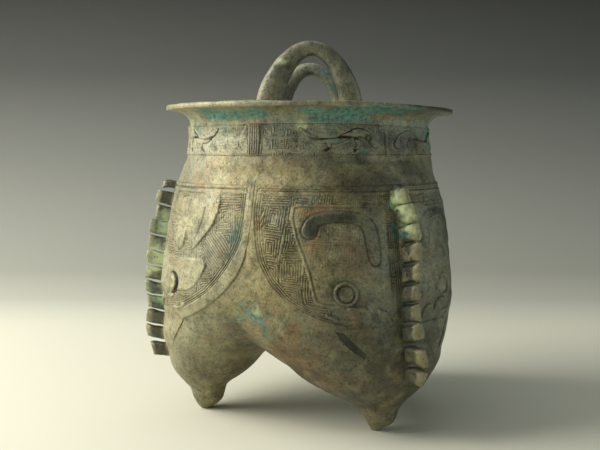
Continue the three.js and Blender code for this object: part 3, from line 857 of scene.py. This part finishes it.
def inside_stroke(points, stations, steps=14):
    """How far points lie inside a stroke whose stations give x, z and width."""
    rows = np.array(stations, float)
    place = np.arange(len(rows))
    fine = np.linspace(0, len(rows) - 1, (len(rows) - 1) * steps + 1)
    curves = [smooth_curve(np.stack([place, rows[:, i]], -1))(fine) for i in range(3)]
    best = np.full(points.shape[:-1], -1e9)
    for x, z, width in zip(*curves):
        best = np.maximum(best, width / 2 - np.hypot(points[..., 0] - x, points[..., 1] - z))
    return best


def pillow(inside, edge):
    """0 outside a shape and 1 well inside it, with a rounded edge."""
    t = np.clip(inside / edge, 0, 1)
    return np.sqrt(1 - (1 - t) ** 2)


def stripes(x):
    """1 in lines a thread's pitch apart and 0 between them."""
    return ramp(0.5 + 0.5 * np.cos(2 * math.pi * x / SPIRAL_PITCH), 0.3, 0.85)


def thread_ground(x, z, cell, lean):
    """1 in the lines of a ground of square spirals and 0 between them."""
    width, height = cell
    turn = math.radians(lean)
    u = (x * math.cos(turn) + z * math.sin(turn)) / width
    v = (z * math.cos(turn) - x * math.sin(turn)) / height
    column = np.floor(u)
    v = v + SPIRAL_DRIFT * column
    row = np.floor(v)
    flip = np.where((column + row) % 2 > 0, 1, -1)
    a = (u - column - 0.5) * width * flip
    b = (v - row - 0.5) * height
    across, along = np.abs(a), np.abs(b) - (height - width) / 2
    upright = along > across
    side = np.where(upright, np.where(b > 0, 1, 3), np.where(a > 0, 0, 2))
    return stripes(np.maximum(across, along) + SPIRAL_PITCH * side / 4)


def wandered(x, z):
    """The same places, shifted as a hand-cut line wanders."""
    reach_aside, size = WANDER
    places = np.stack([x, z, 0 * x], -1)
    return x + reach_aside * noise(places, size, 51), z + reach_aside * noise(places, size, 52)


def mask_ground(x, z, inset, bladed):
    """The thread ground of a mask; inset is the distance inside its border."""
    x, z = wandered(x, z)
    ground = thread_ground(x, z, MASK_SPIRALS, MASK_SPIRAL_LEAN)
    beside_plate, lowest = LEVEL_THREADS
    ground = np.where((x > beside_plate) & (z > lowest), stripes(z), ground)
    ground = np.where(inset < BORDER_THREADS, stripes(inset), ground)
    if bladed:
        middle_x, middle_z, size = STEEP_ZONE
        steep = np.hypot(x - middle_x, z - middle_z) < size
        ground = np.where(steep, stripes((x + z) / 1.5), ground)
    return ground


def eye_height(points, height, bladed):
    """A ring with a pupil, or a deep socket that a bulging eye half fills; the darkness it returns is
    painted shade in the hollows.
    """
    away = np.hypot(points[..., 0] - EYE[0], points[..., 1] - EYE[1])
    if bladed:
        socket = ramp(EYE_RING + 0.4 - away, 0, 0.9)
        ball = EYE_RING - 0.6 - np.hypot(points[..., 0] - EYE[0] + BALL_SHIFT, points[..., 1] - EYE[1])
        bulge = ramp(ball, 0, 0.5)
        # Painted shade: the socket is dark where the bulging eye doesn't fill it
        dark = socket * (1 - bulge)
        return height * (1 - dark) + SOCKET_FLOOR * dark + 0.9 * pillow(ball, 3.5), 1.8 * dark
    ring = pillow(np.minimum(EYE_RING - away, away - EYE_HOLE), 0.6)
    hollow = ramp(EYE_HOLE + 0.1 - away, 0, 0.5)
    ball = pillow(EYE_HOLE - 0.7 - away, 3.0)
    moat = hollow * (1 - ramp(ball, 0, 0.7))
    around = ramp(0.8 - np.abs(away - EYE_RING - 0.5), 0, 0.6)
    height = height * (1 - hollow) + 0.5 * hollow + 1.3 * ring + 0.9 * ball - 0.2 * around
    # Painted shade in the moat inside the ring and in a thin line round it
    return height, np.maximum(0.75 * moat, 0.45 * around)


def mask_border(within, z, beside_flange, bladed):
    """The border's width and raised band, and how much of a mask lies inside it."""
    if bladed:
        share, low, high = BLADED_BORDER_NARROWS
        width = BLADED_BORDER_WIDTH * (1 - share * ramp(z, low, high))
        band = pillow(width / 2 - np.abs(within), LINE_EDGE)
        return width, band, ramp(within, -width / 2 - 0.3, -width / 2 + 0.2)
    low, high, share = PLAIN_BORDER_EASES
    fading = ramp(-within, -1, BORDER_FADE) * (1 - ramp(beside_flange, low, high) * share)
    band = pillow(BORDER_WIDTH / 2 - np.abs(within), LINE_EDGE)
    band = PLAIN_BORDER_LIFT * np.where(within < 0, 1 - fading, band)
    return BORDER_WIDTH, band, ramp(within, -BORDER_FADE, -2)


def mask_plates(points, bladed):
    """How far points lie inside a mask's plates, its horn's shape and its vein's line."""
    if bladed:
        middle_x, middle_z, across, up = OVAL
        oval = 1 - np.hypot((points[..., 0] - middle_x) / across, (points[..., 1] - middle_z) / up)
        shapes = [inside_outline(points, BLADE_PLATE), inside_outline(points, EYE_PLATE), oval * across]
        return np.max(shapes, axis=0), 0 * oval, pillow(inside_stroke(points, BLADE_VEIN), VEIN_EDGE)
    horn = inside_stroke(points, HORN_LINE)
    vein = ramp(0.9 - np.abs(horn + 0.5), 0, VEIN_EDGE)
    return inside_outline(points, FACE_PLATE), pillow(horn, HORN_EDGE), vein


def plain_mask_wear(beside_flange, z):
    """1 where a plain mask is crisp, and 0 on its worn lower face."""
    across, up = WORN_FACE
    return 1 - (1 - ramp(beside_flange, *across)) * (1 - ramp(z, *up))


def mask_height(x, z, bladed):
    """Height, line darkness and tone of a pouch's relief over its skin; the darkness includes painted
    shade.
    """
    beside_flange = np.abs(x)
    points = np.stack([beside_flange, z], -1)
    line = BLADED_BORDER_LINE if bladed else BORDER_LINE
    last = line[-1][1]
    within = inside_outline(points, line + [(-1, last), (-1, line[0][1])])
    below_top = ramp(z, PANEL_TOP, PANEL_TOP - 1.0)
    width, band, outside = mask_border(within, z, beside_flange, bladed)
    inset = within - width / 2
    chin = inside_outline(points, CHIN)
    chin_height = CHIN_LIFT * pillow(chin, LINE_EDGE) * ramp(z, *CHIN_FADE)
    threads = mask_ground(beside_flange, z, inset, bladed)
    plates, horn_shape, vein = mask_plates(points, bladed)
    marks = [inside_stroke(points, listed) for listed in (JAW_LINE, FANG_LINE, LEG_LINE)]
    mark_shape = pillow(np.max(marks, axis=0), LINE_EDGE)
    plate = pillow(plates, PLATE_EDGE)
    strips = [pillow(0.75 - np.abs(z - height), STRIP_EDGE) for height in TOP_LINES]
    strip = np.max(strips, axis=0) * ramp(within, 0, 1)
    in_panel = ramp(inset, -0.2, 0.3)

    smooth_parts = np.max([strip, horn_shape, mark_shape, 1 - in_panel], axis=0)
    plain = plate * (1.0 if bladed else 0.66 + 0.3 * ramp(z, 96, 90))
    clear = 1 if bladed else plain_mask_wear(beside_flange, z)
    groove = threads * (1 - smooth_parts) * (1 - plain) * clear
    if not bladed:
        edge_line = 0.8 * ramp(0.9 - np.abs(plates - 1.8), 0, 0.7) * clear * ramp(beside_flange, 10, 24)
        groove = np.maximum(groove, edge_line * (1 - smooth_parts))
    groove = np.maximum(groove, 0.8 * vein)
    sunk_slab = 0 if bladed else ramp(inside_outline(points, RECESS), -0.1, 0.5)
    # Painted shade: a dark line along the step at the panel's edge
    step = ramp(0.9 - np.abs(inset + 0.2), 0, 0.7) * (0.25 + 0.75 * clear)

    height = (GROUND_LIFT + (PLATE_LIFT - GROUND_LIFT) * plate) * in_panel
    height = np.maximum(height, BAND_LIFT * band)
    height = np.maximum(height, GROUND_LIFT + 0.35 * strip * in_panel - 9 * (1 - in_panel))
    height = np.where(height > 0, height * (0.35 + 0.65 * clear), height)
    height = height + (HORN_LIFT - PLATE_LIFT) * horn_shape
    height = np.maximum(height, PLATE_LIFT * 1.15 * mark_shape)
    height = height - SPIRAL_DEPTH * groove
    # The eye's darkness is painted shade
    height, socket = eye_height(points, height, bladed)
    body = SUNK + (height - SUNK) * outside * below_top
    height = np.maximum(body, np.where(chin > 0, chin_height, SUNK))
    slab_floor = CHIN_LIFT - RECESS_DEPTH
    height = height * (1 - sunk_slab) + np.minimum(height, slab_floor) * sunk_slab

    below_border = (within < -width / 2) * (x > 0)
    # Painted shade: a dark line along the chin's step
    around_chin = ramp(1.6 - np.abs(chin + 0.6), 0, 1.2) * ramp(z, 44, 52) * below_border
    # Soil and painted shade in the lines, painted shade in the eye and along the steps, and the sunk slab
    # darker
    dark = np.max([groove * outside, socket, 0.85 * step * outside * in_panel, 0.9 * around_chin], axis=0)
    dark = np.maximum(dark, 0.7 * sunk_slab)
    horn_tone = horn_shape * (0.25 + 0.75 * ramp(beside_flange, 20, 30))
    return height, dark * below_top, np.maximum(horn_tone, sunk_slab) * below_top


def dragon_height(x, z):
    """Height and line darkness of the neck's band over its skin."""
    span = 2 * math.pi * NECK_DRAWING_RADIUS / DRAGON_PAIRS
    middle = math.radians(POUCHES[0]["turn"]) * NECK_DRAWING_RADIUS
    beside_middle = np.abs((x - middle + span / 2) % span - span / 2)
    points = np.stack([beside_middle, z], -1)
    body = inside_stroke(points, DRAGON_BODY)
    for leg in DRAGON_LEGS:
        body = np.maximum(body, inside_stroke(points, leg))
    body_shape = pillow(body, 1.2)
    contour = ramp(1.0 - np.abs(body + 0.2), 0, 0.6)
    lines = np.zeros_like(x)
    for place in DIVIDERS:
        lines = np.maximum(lines, pillow(DIVIDER_HALF_WIDTH - np.abs(beside_middle - place), STRIP_EDGE))
    middle_ridge = pillow(1.3 - beside_middle, 1.0)
    edge = 0.8 - np.minimum(np.abs(z - BAND_BOTTOM - 1.0), np.abs(z - BAND_TOP + 1.0))
    edge_shape = pillow(edge, 0.6) * 0.5
    eye = np.hypot(beside_middle - DRAGON_EYE[0], z - DRAGON_EYE[1])
    eye_hole = ramp(1.5 - np.abs(eye - 1.5), 0.6, 1.2)
    raised = np.max([0.8 * body_shape, lines, middle_ridge, edge_shape], axis=0)
    threads = thread_ground(*wandered(beside_middle, z), NECK_SPIRALS, 0)
    groove = threads * (1 - np.maximum(raised, body_shape))
    cut = np.max([inside_stroke(points, listed) for listed in NECK_CUTS], axis=0)
    cut = ramp(cut, -0.5, 0.25)
    groove = np.max([1.3 * groove, eye_hole * body_shape, 1.4 * contour, 1.8 * cut], axis=0)
    inside = np.minimum(z - BAND_BOTTOM, BAND_TOP - z)
    panel = ramp(inside, 0, 1.2)
    height = 0.35 + 0.8 * raised - 1.1 * SPIRAL_DEPTH * groove
    return SUNK + (height - SUNK) * panel, groove * panel, 0 * raised


def settle(points, outward):
    """Moves points along level directions until they lie on the outer skin."""
    for _ in range(4):
        flat = points - AXIS
        r = np.hypot(flat[..., 0], flat[..., 1])
        turn = np.arctan2(flat[..., 0], -flat[..., 1])
        points = points + outward * outside_depth(r, turn, points[..., 2])[..., None]
    return points


def shell_of(top, bottom_rows, normals, closed):
    """A closed skin: a fine grid on top, and a coarser grid SHELL_DEPTH under it."""
    rows, columns = top.shape[:2]
    kept = np.unique(np.linspace(0, rows - 1, bottom_rows).round().astype(int))
    under = top[kept] - normals[kept] * SHELL_DEPTH
    start = rows * columns
    faces = [grid_faces(rows, columns, closed)]
    faces.append(grid_faces(len(kept), columns, closed)[:, ::-1] + start)
    last_under = start + (len(kept) - 1) * columns
    for fine, coarse, turned in ((0, start, False), ((rows - 1) * columns, last_under, True)):
        count = columns if closed else columns - 1
        i = np.arange(count)
        following = (i + 1) % columns
        first = np.stack([fine + i, coarse + i, coarse + following], -1)
        second = np.stack([fine + i, coarse + following, fine + following], -1)
        sides = np.concatenate([first, second])
        faces.append(sides[:, ::-1] if turned else sides)
    if not closed:
        for column, turned in ((0, False), (columns - 1, True)):
            faces.append(side_faces(kept, columns, column, start, turned))
    return np.concatenate([top.reshape(-1, 3), under.reshape(-1, 3)]), np.concatenate(faces)


def side_faces(kept, columns, column, start, turned):
    """Triangles that close one side of a skin, from its fine rows to its coarse rows."""
    faces = []
    for number, (row, following) in enumerate(zip(kept[:-1], kept[1:])):
        low = start + number * columns + column
        high = low + columns
        middle = (row + following) // 2
        for i in range(row, following):
            foot = low if i < middle else high
            faces.append((i * columns + column, (i + 1) * columns + column, foot))
        faces.append((middle * columns + column, high, low))
    faces = np.array(faces)
    return faces[:, ::-1] if turned else faces


def make_mask_relief(pouch):
    """The fine relief of one pouch, as a thin skin that lies on it."""
    x = np.linspace(-PANEL_REACH, PANEL_REACH, PANEL_COLUMNS)
    foot = smooth_curve(PANEL_FOOT)(np.abs(x))
    share = np.linspace(0, 1, PANEL_ROWS)[:, None]
    z = foot + (PANEL_TOP + 0.8 - foot) * share
    x = x + 0 * z
    turn = x / PANEL_RADIUS
    out = middle_at(pouch, z) + girth(pouch, z) * np.cos(turn)
    aside = girth(pouch, z) * np.sin(turn)
    points = beside(pouch, out, aside, z)
    dx, dy = direction(pouch)
    away_x = dx * np.cos(turn) - dy * np.sin(turn)
    away_y = dy * np.cos(turn) + dx * np.sin(turn)
    outward = np.stack([away_x, away_y, 0 * z], -1)
    points = settle(points, outward)
    height, groove, raised = mask_height(x, z, pouch["bladed"])
    name = "mask_relief_" + pouch["name"]
    return relief_skin(name, points, height, groove, raised, False)


def make_neck_band():
    """The band of dragons, as a thin skin round the neck."""
    turn = np.arange(BAND_COLUMNS) * 2 * math.pi / BAND_COLUMNS
    z, turn = np.meshgrid(np.linspace(BAND_BOTTOM, BAND_TOP, BAND_ROWS), turn, indexing="ij")
    points = ring_points(neck_radius(z), z, turn)
    outward = np.stack([np.sin(turn), -np.cos(turn), 0 * z], -1)
    points = settle(points, outward)
    height, groove, raised = dragon_height(turn * NECK_DRAWING_RADIUS, z)
    return relief_skin("neck_dragon_band", points, height, groove, raised, True)


def relief_skin(name, points, height, groove, raised, closed):
    """A painted skin whose outer face stands at a height over its points."""
    normals = grid_normals(points, closed)
    wear = LEAST_WEAR + (1 - LEAST_WEAR) * ramp(mixed_noise(points, WEAR_NOISE), -0.7, 0.5)
    height = np.where(height > 0, height * wear, height)
    top = points + normals * (height + cast_bumps(points))[..., None]
    shell, faces = shell_of(top, SHELL_ROWS, normals, closed)
    piece = make_piece(name, sagged(shell), faces)
    kept = len(shell) - top.shape[0] * top.shape[1]
    paint(piece, np.concatenate([(groove * wear).ravel(), np.zeros(kept)]),
          np.concatenate([raised.ravel(), np.zeros(kept)]))
    return piece


def patches(points, listed):
    """How strongly points are covered by soft patches."""
    flat = points - AXIS
    radius = np.hypot(flat[..., 0], flat[..., 1])
    turn = np.arctan2(flat[..., 0], -flat[..., 1])
    total = np.zeros(points.shape[:-1])
    for degrees, height, across, up, strength in listed:
        gap = (turn - math.radians(degrees) + math.pi) % (2 * math.pi) - math.pi
        away = (gap * radius / across) ** 2 + ((points[..., 2] - height) / up) ** 2
        total = np.maximum(total, strength * np.exp(-away))
    return total


def flange_marks(points):
    """Where points lie on the worn outer edge of a flange, and where on its sides."""
    flat = points - AXIS
    z = points[..., 2]
    edge = np.zeros_like(z)
    side = np.zeros_like(z)
    for pouch in POUCHES:
        dx, dy = direction(pouch)
        out = flat[..., 0] * dx + flat[..., 1] * dy - middle_at(pouch, z) - girth(pouch, z)
        aside = flat[..., 1] * dx - flat[..., 0] * dy - flange_middle(pouch, z)
        low, high = FLANGE_REACH
        near = (np.abs(aside) < TOOTH_THICKNESS) & (z > low) & (z < high)
        outer = ramp(out, *FLANGE_EDGE)
        edge = np.maximum(edge, near * outer)
        side = np.maximum(side, near * ramp(out, *FLANGE_SIDE) * (1 - outer))
    return edge, side


def set_colors(mesh, name, channels):
    """Stores up to three channels as a colour for each point of a mesh."""
    attribute = mesh.attributes.new(name, "FLOAT_COLOR", "POINT")
    values = np.ones((len(mesh.vertices), 4), np.float32)
    values[:, :3] = 0
    for i, channel in enumerate(channels):
        values[:, i] = channel
    attribute.data.foreach_set("color", values.ravel())


def paint(piece, groove, raised):
    """Gives a piece its stains, its painted light and shade, and the lines and raised parts of its relief.
    """
    mesh = piece.data
    points = np.empty(len(mesh.vertices) * 3, np.float32)
    mesh.vertices.foreach_get("co", points)
    points = points.reshape(-1, 3).astype(float) / MM
    ragged = mixed_noise(points, STAIN_NOISE)
    stains = [patches(points, listed) for listed in (TURQUOISE, PALE_CRUST, WARM_RUST)]
    stains = [np.clip(stain * (1 + ragged), 0, 1.5) for stain in stains]
    # Darker skin, partly painted shade, and the flanges' darker sides
    dark = patches(points, DARK_SKIN_AND_SHADE) * (1 + 0.6 * ragged)
    cool = patches(points, COOL_SKIN) * (1 + 0.5 * ragged)
    light = patches(points, LIGHT_SKIN_AND_PAINTED_LIGHT) * (1 + 0.6 * ragged)
    edge, side = flange_marks(points)
    dark, cool, light = (np.clip(channel, 0, 1) for channel in (dark + 0.8 * side, cool, light))
    set_colors(mesh, "stain", stains)
    set_colors(mesh, "relief", [groove, raised, dark])
    set_colors(mesh, "tint", [cool, light, edge])


# Materials


def linear(red, green, blue):
    """A linear colour from eight-bit sRGB values."""
    return tuple((value / 255) ** 2.2 for value in (red, green, blue)) + (1.0,)


class Nodes:
    """Short names for building a node tree."""

    def __init__(self, name):
        self.material = bpy.data.materials.new(name)
        self.material.use_nodes = True
        self.tree = self.material.node_tree
        self.shader = self.tree.nodes["Principled BSDF"]

    def feed(self, socket, value):
        """Gives a socket another socket's value, a colour of eight-bit values or a number."""
        if isinstance(value, bpy.types.NodeSocket):
            self.tree.links.new(value, socket)
        elif isinstance(value, tuple):
            socket.default_value = linear(*value)
        else:
            socket.default_value = value

    def math(self, operation, first, second=0.0, clamp=False):
        node = self.tree.nodes.new("ShaderNodeMath")
        node.operation = operation
        node.use_clamp = clamp
        self.feed(node.inputs[0], first)
        self.feed(node.inputs[1], second)
        return node.outputs[0]

    def times(self, first, second):
        return self.math("MULTIPLY", first, second)

    def plus(self, first, second):
        return self.math("ADD", first, second)

    def mix(self, share, first, second, blend="MIX"):
        node = self.tree.nodes.new("ShaderNodeMix")
        node.data_type = "RGBA"
        node.blend_type = blend
        self.feed(node.inputs["Factor"], share)
        self.feed(node.inputs[6], first)
        self.feed(node.inputs[7], second)
        return node.outputs[2]

    def ramp(self, value, low, high):
        """A smooth step from 0 at low to 1 at high."""
        node = self.tree.nodes.new("ShaderNodeMapRange")
        node.interpolation_type = "SMOOTHSTEP"
        self.feed(node.inputs["Value"], value)
        node.inputs["From Min"].default_value = low
        node.inputs["From Max"].default_value = high
        return node.outputs[0]

    def noise(self, size, detail=4.0, roughness=0.55, distortion=0.0, place=None):
        """Noise from 0 to 1 with features of a size in millimetres."""
        node = self.tree.nodes.new("ShaderNodeTexNoise")
        node.inputs["Scale"].default_value = 1 / (size * MM)
        node.inputs["Detail"].default_value = detail
        node.inputs["Roughness"].default_value = roughness
        node.inputs["Distortion"].default_value = distortion
        self.feed(node.inputs["Vector"], place or self.place())
        return node.outputs[0]

    def cells(self, size):
        """The distance from the nearest of scattered points, in features of a size."""
        node = self.tree.nodes.new("ShaderNodeTexVoronoi")
        node.inputs["Scale"].default_value = 1 / (size * MM)
        self.feed(node.inputs["Vector"], self.place())
        return node.outputs[0]

    def place(self):
        """Where a point is on the object."""
        if not hasattr(self, "coordinates"):
            self.coordinates = self.tree.nodes.new("ShaderNodeTexCoord").outputs["Object"]
        return self.coordinates

    def flattened(self, times):
        """The place, scaled up in height so that features lie level and low."""
        node = self.tree.nodes.new("ShaderNodeVectorMath")
        node.operation = "MULTIPLY"
        self.feed(node.inputs[0], self.place())
        node.inputs[1].default_value = (1.0, 1.0, times)
        return node.outputs[0]

    def channels(self, attribute):
        """The three channels of a colour stored on the mesh."""
        node = self.tree.nodes.new("ShaderNodeAttribute")
        node.attribute_name = attribute
        split = self.tree.nodes.new("ShaderNodeSeparateColor")
        self.tree.links.new(node.outputs["Color"], split.inputs[0])
        return split.outputs[0], split.outputs[1], split.outputs[2]

    def bump(self, height, distance, strength, normal=None):
        """A bumped normal; distance is in millimetres."""
        node = self.tree.nodes.new("ShaderNodeBump")
        node.inputs["Distance"].default_value = distance * MM
        node.inputs["Strength"].default_value = strength
        self.feed(node.inputs["Height"], height)
        if normal is not None:
            self.feed(node.inputs["Normal"], normal)
        return node.outputs[0]


def bronze_material():
    """Old bronze: olive and brown skin, crusts of corrosion, soil and painted shade in the lines, and
    painted light and shade in patches.
    """
    n = Nodes("old_bronze")
    turquoise, pale, warm = n.channels("stain")
    groove, raised, dark = n.channels("relief")
    cool, light, edge = n.channels("tint")
    broad = n.noise(38, 5, 0.6)
    mottle = n.noise(12, 9, 0.68, 0.3)
    fine = n.noise(2.2, 6, 0.65)
    grain = n.noise(1.3, 4, 0.7)
    blotch = n.noise(4.5, 7, 0.68, 0.2)
    streaks = n.noise(14, 7, 0.65, 0.2, n.flattened(4.0))
    pits = n.cells(2.6)
    ragged = n.plus(n.times(mottle, 0.7), n.times(fine, 0.45))
    streaked = n.plus(n.times(streaks, 0.75), n.times(fine, 0.45))

    color = n.mix(n.ramp(broad, 0.35, 0.68), BRONZE_OLIVE, GREY_PATINA)
    color = n.mix(n.times(cool, 0.75), color, GREY_GREEN)
    color = n.mix(n.times(n.ramp(mottle, 0.45, 0.68), 0.5), color, BRONZE_DARK)
    color = n.mix(n.times(n.ramp(blotch, 0.5, 0.68), 0.4), color, BRONZE_PALE)
    # Paler skin: worn olive, and painted light on the side where the key light falls
    color = n.mix(n.times(light, 0.55), color, BRONZE_PALE)
    brown = n.ramp(n.noise(18, 7, 0.64), 0.5, 0.68)
    brown_share = n.math("SUBTRACT", 0.55, n.times(cool, 0.35))
    color = n.mix(n.times(brown, brown_share), color, BROWN_PATINA)
    warm_cover = n.ramp(n.times(warm, n.plus(ragged, 0.45)), 0.22, 0.85)
    color = n.mix(n.times(warm_cover, 0.75), color, BROWN_PATINA)
    # Darker, smoother skin, partly painted shade on the front flange and on the neck's +X side
    color = n.mix(n.times(n.ramp(dark, 0.08, 0.85), 0.85), color, SMOOTH_DARK_AND_SHADE)
    color = n.mix(n.times(raised, n.ramp(ragged, 0.3, 0.62)), color, HORN_GREEN)
    color = n.mix(n.times(n.ramp(blotch, 0.5, 0.34), 0.45), color, GRAIN_DARK, "MULTIPLY")
    color = n.mix(n.times(n.ramp(grain, 0.52, 0.36), 0.5), color, GRAIN_DARK, "MULTIPLY")

    scattered = n.ramp(n.times(n.noise(15, 8, 0.7), n.noise(3.5, 6, 0.75)), 0.3, 0.42)
    crust = n.ramp(n.times(turquoise, n.plus(streaked, 0.25)), 0.18, 0.66)
    crust = n.math("MAXIMUM", crust, n.times(scattered, 0.5))
    crust_color = n.mix(n.ramp(fine, 0.36, 0.62), DEEP_GREEN, TURQUOISE_CRUST)
    color = n.mix(n.times(crust, 0.82), color, crust_color)
    chalk = n.ramp(n.times(pale, n.plus(ragged, 0.3)), 0.3, 0.8)
    color = n.mix(n.times(chalk, 0.85), color, CHALK_CRUST)

    color = n.mix(n.times(edge, n.ramp(ragged, 0.42, 0.66)), color, WORN_EDGE)
    # Soil and painted shade in the relief's lines, in the eye hollows and along the panel's and chin's
    # steps
    cavity = n.math("MULTIPLY", groove, n.plus(n.times(mottle, 0.6), 0.52), True)
    color = n.mix(cavity, color, SOIL_AND_SHADE)
    speck = n.ramp(pits, 0.18, 0.06)
    color = n.mix(n.times(speck, n.ramp(mottle, 0.4, 0.56)), color, SOIL_AND_SHADE)
    n.feed(n.shader.inputs["Base Color"], color)

    cover = n.math("MAXIMUM", crust, chalk)
    bare = n.math("SUBTRACT", 1.0, cover, True)
    n.feed(n.shader.inputs["Metallic"], n.times(bare, 0.35))
    rough = n.plus(n.times(fine, 0.25), 0.42)
    rough = n.plus(rough, n.times(cover, 0.3))
    rough = n.plus(rough, n.times(n.ramp(dark, 0.2, 0.8), -0.12))
    n.feed(n.shader.inputs["Roughness"], rough)
    n.feed(n.shader.inputs["Specular IOR Level"], 0.4)

    surface = n.bump(mottle, 0.8, 0.5)
    surface = n.bump(fine, 0.42, 0.7, surface)
    surface = n.bump(grain, 0.16, 0.6, surface)
    surface = n.bump(n.ramp(pits, 0.02, 0.2), 0.35, 0.6, surface)
    surface = n.bump(cover, 0.4, 0.6, surface)
    n.feed(n.shader.inputs["Normal"], surface)
    return n.material


# Surroundings

def make_sweep():
    """A pale floor that curves up into a backdrop with painted shade that darkens with height."""
    turns = np.linspace(0, math.pi / 2, 25)
    profile = [(SWEEP_NEAR, 0.0)]
    profile += [(SWEEP_BEND + SWEEP_RADIUS * math.sin(t), SWEEP_RADIUS * (1 - math.cos(t))) for t in turns]
    profile.append((SWEEP_BEND + SWEEP_RADIUS, SWEEP_TOP))
    points = [(x, y, z) for y, z in profile for x in (-SWEEP_HALF_WIDTH, SWEEP_HALF_WIDTH)]
    count = len(profile)
    faces = [(2 * i, 2 * i + 1, 2 * i + 3, 2 * i + 2) for i in range(count - 1)]
    sweep = make_piece("sweep", np.array(points) / MM, faces)
    n = Nodes("backdrop")
    split = n.tree.nodes.new("ShaderNodeSeparateXYZ")
    n.tree.links.new(n.place(), split.inputs[0])
    ramp_node = n.tree.nodes.new("ShaderNodeValToRGB")
    top = BACKDROP_PAINTED_SHADE[-1][0]
    n.feed(ramp_node.inputs[0], n.math("DIVIDE", split.outputs["Z"], top, True))
    elements = ramp_node.color_ramp.elements
    elements[0].color = linear(*BACKDROP_PAINTED_SHADE[0][1])
    elements[1].color = linear(*BACKDROP_PAINTED_SHADE[-1][1])
    for height, chip in BACKDROP_PAINTED_SHADE[1:-1]:
        elements.new(height / top).color = linear(*chip)
    n.feed(n.shader.inputs["Base Color"], ramp_node.outputs[0])
    n.feed(n.shader.inputs["Roughness"], 0.9)
    n.feed(n.shader.inputs["Specular IOR Level"], 0.1)
    sweep.data.materials.append(n.material)
    return sweep


def add_area_light(name, place, size, power, color):
    """A rectangular light that shines at the middle of the vessel."""
    light = bpy.data.lights.new(name, "AREA")
    light.shape = "RECTANGLE"
    light.size, light.size_y = size
    light.energy = power
    light.color = color
    lamp = bpy.data.objects.new(name, light)
    bpy.context.scene.collection.objects.link(lamp)
    lamp.location = place
    lamp.rotation_euler = (Vector(LIGHTS_AIM) - Vector(place)).to_track_quat("-Z", "Y").to_euler()


def add_lights():
    """The area lights and a weak, even light from all around."""
    for name, (place, size, power, color) in LIGHTS.items():
        add_area_light(name, place, size, power, color)
    world = bpy.data.worlds.new("studio")
    world.use_nodes = True
    background = world.node_tree.nodes["Background"]
    background.inputs["Color"].default_value = WORLD_COLOR
    background.inputs["Strength"].default_value = WORLD_STRENGTH
    bpy.context.scene.world = world
    bpy.context.scene.view_settings.view_transform = "Standard"


def add_camera():
    """The photograph's view."""
    data = bpy.data.cameras.new("camera")
    data.sensor_width = SENSOR_WIDTH
    data.sensor_fit = "HORIZONTAL"
    data.lens = SENSOR_WIDTH * CAMERA_FOCAL_PIXELS / PHOTO_WIDTH
    data.clip_start = 0.01
    camera = bpy.data.objects.new("camera", data)
    bpy.context.scene.collection.objects.link(camera)
    place = (AXIS + np.array([0, -CAMERA_DISTANCE, CAMERA_HEIGHT])) * MM
    camera.location = place
    camera.rotation_euler = (math.radians(90 - CAMERA_PITCH), 0, math.radians(CAMERA_YAW))
    bpy.context.scene.camera = camera


add_camera()
add_lights()
sweep = make_sweep()
bronze = bronze_material()
vessel = make_vessel()
paint(vessel, 0, 0)
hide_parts("ding_vessel")
pieces = [vessel] + [make_mask_relief(pouch) for pouch in POUCHES] + [make_neck_band()]
for piece in pieces:
    piece.data.materials.append(bronze)
    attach(piece, "root")
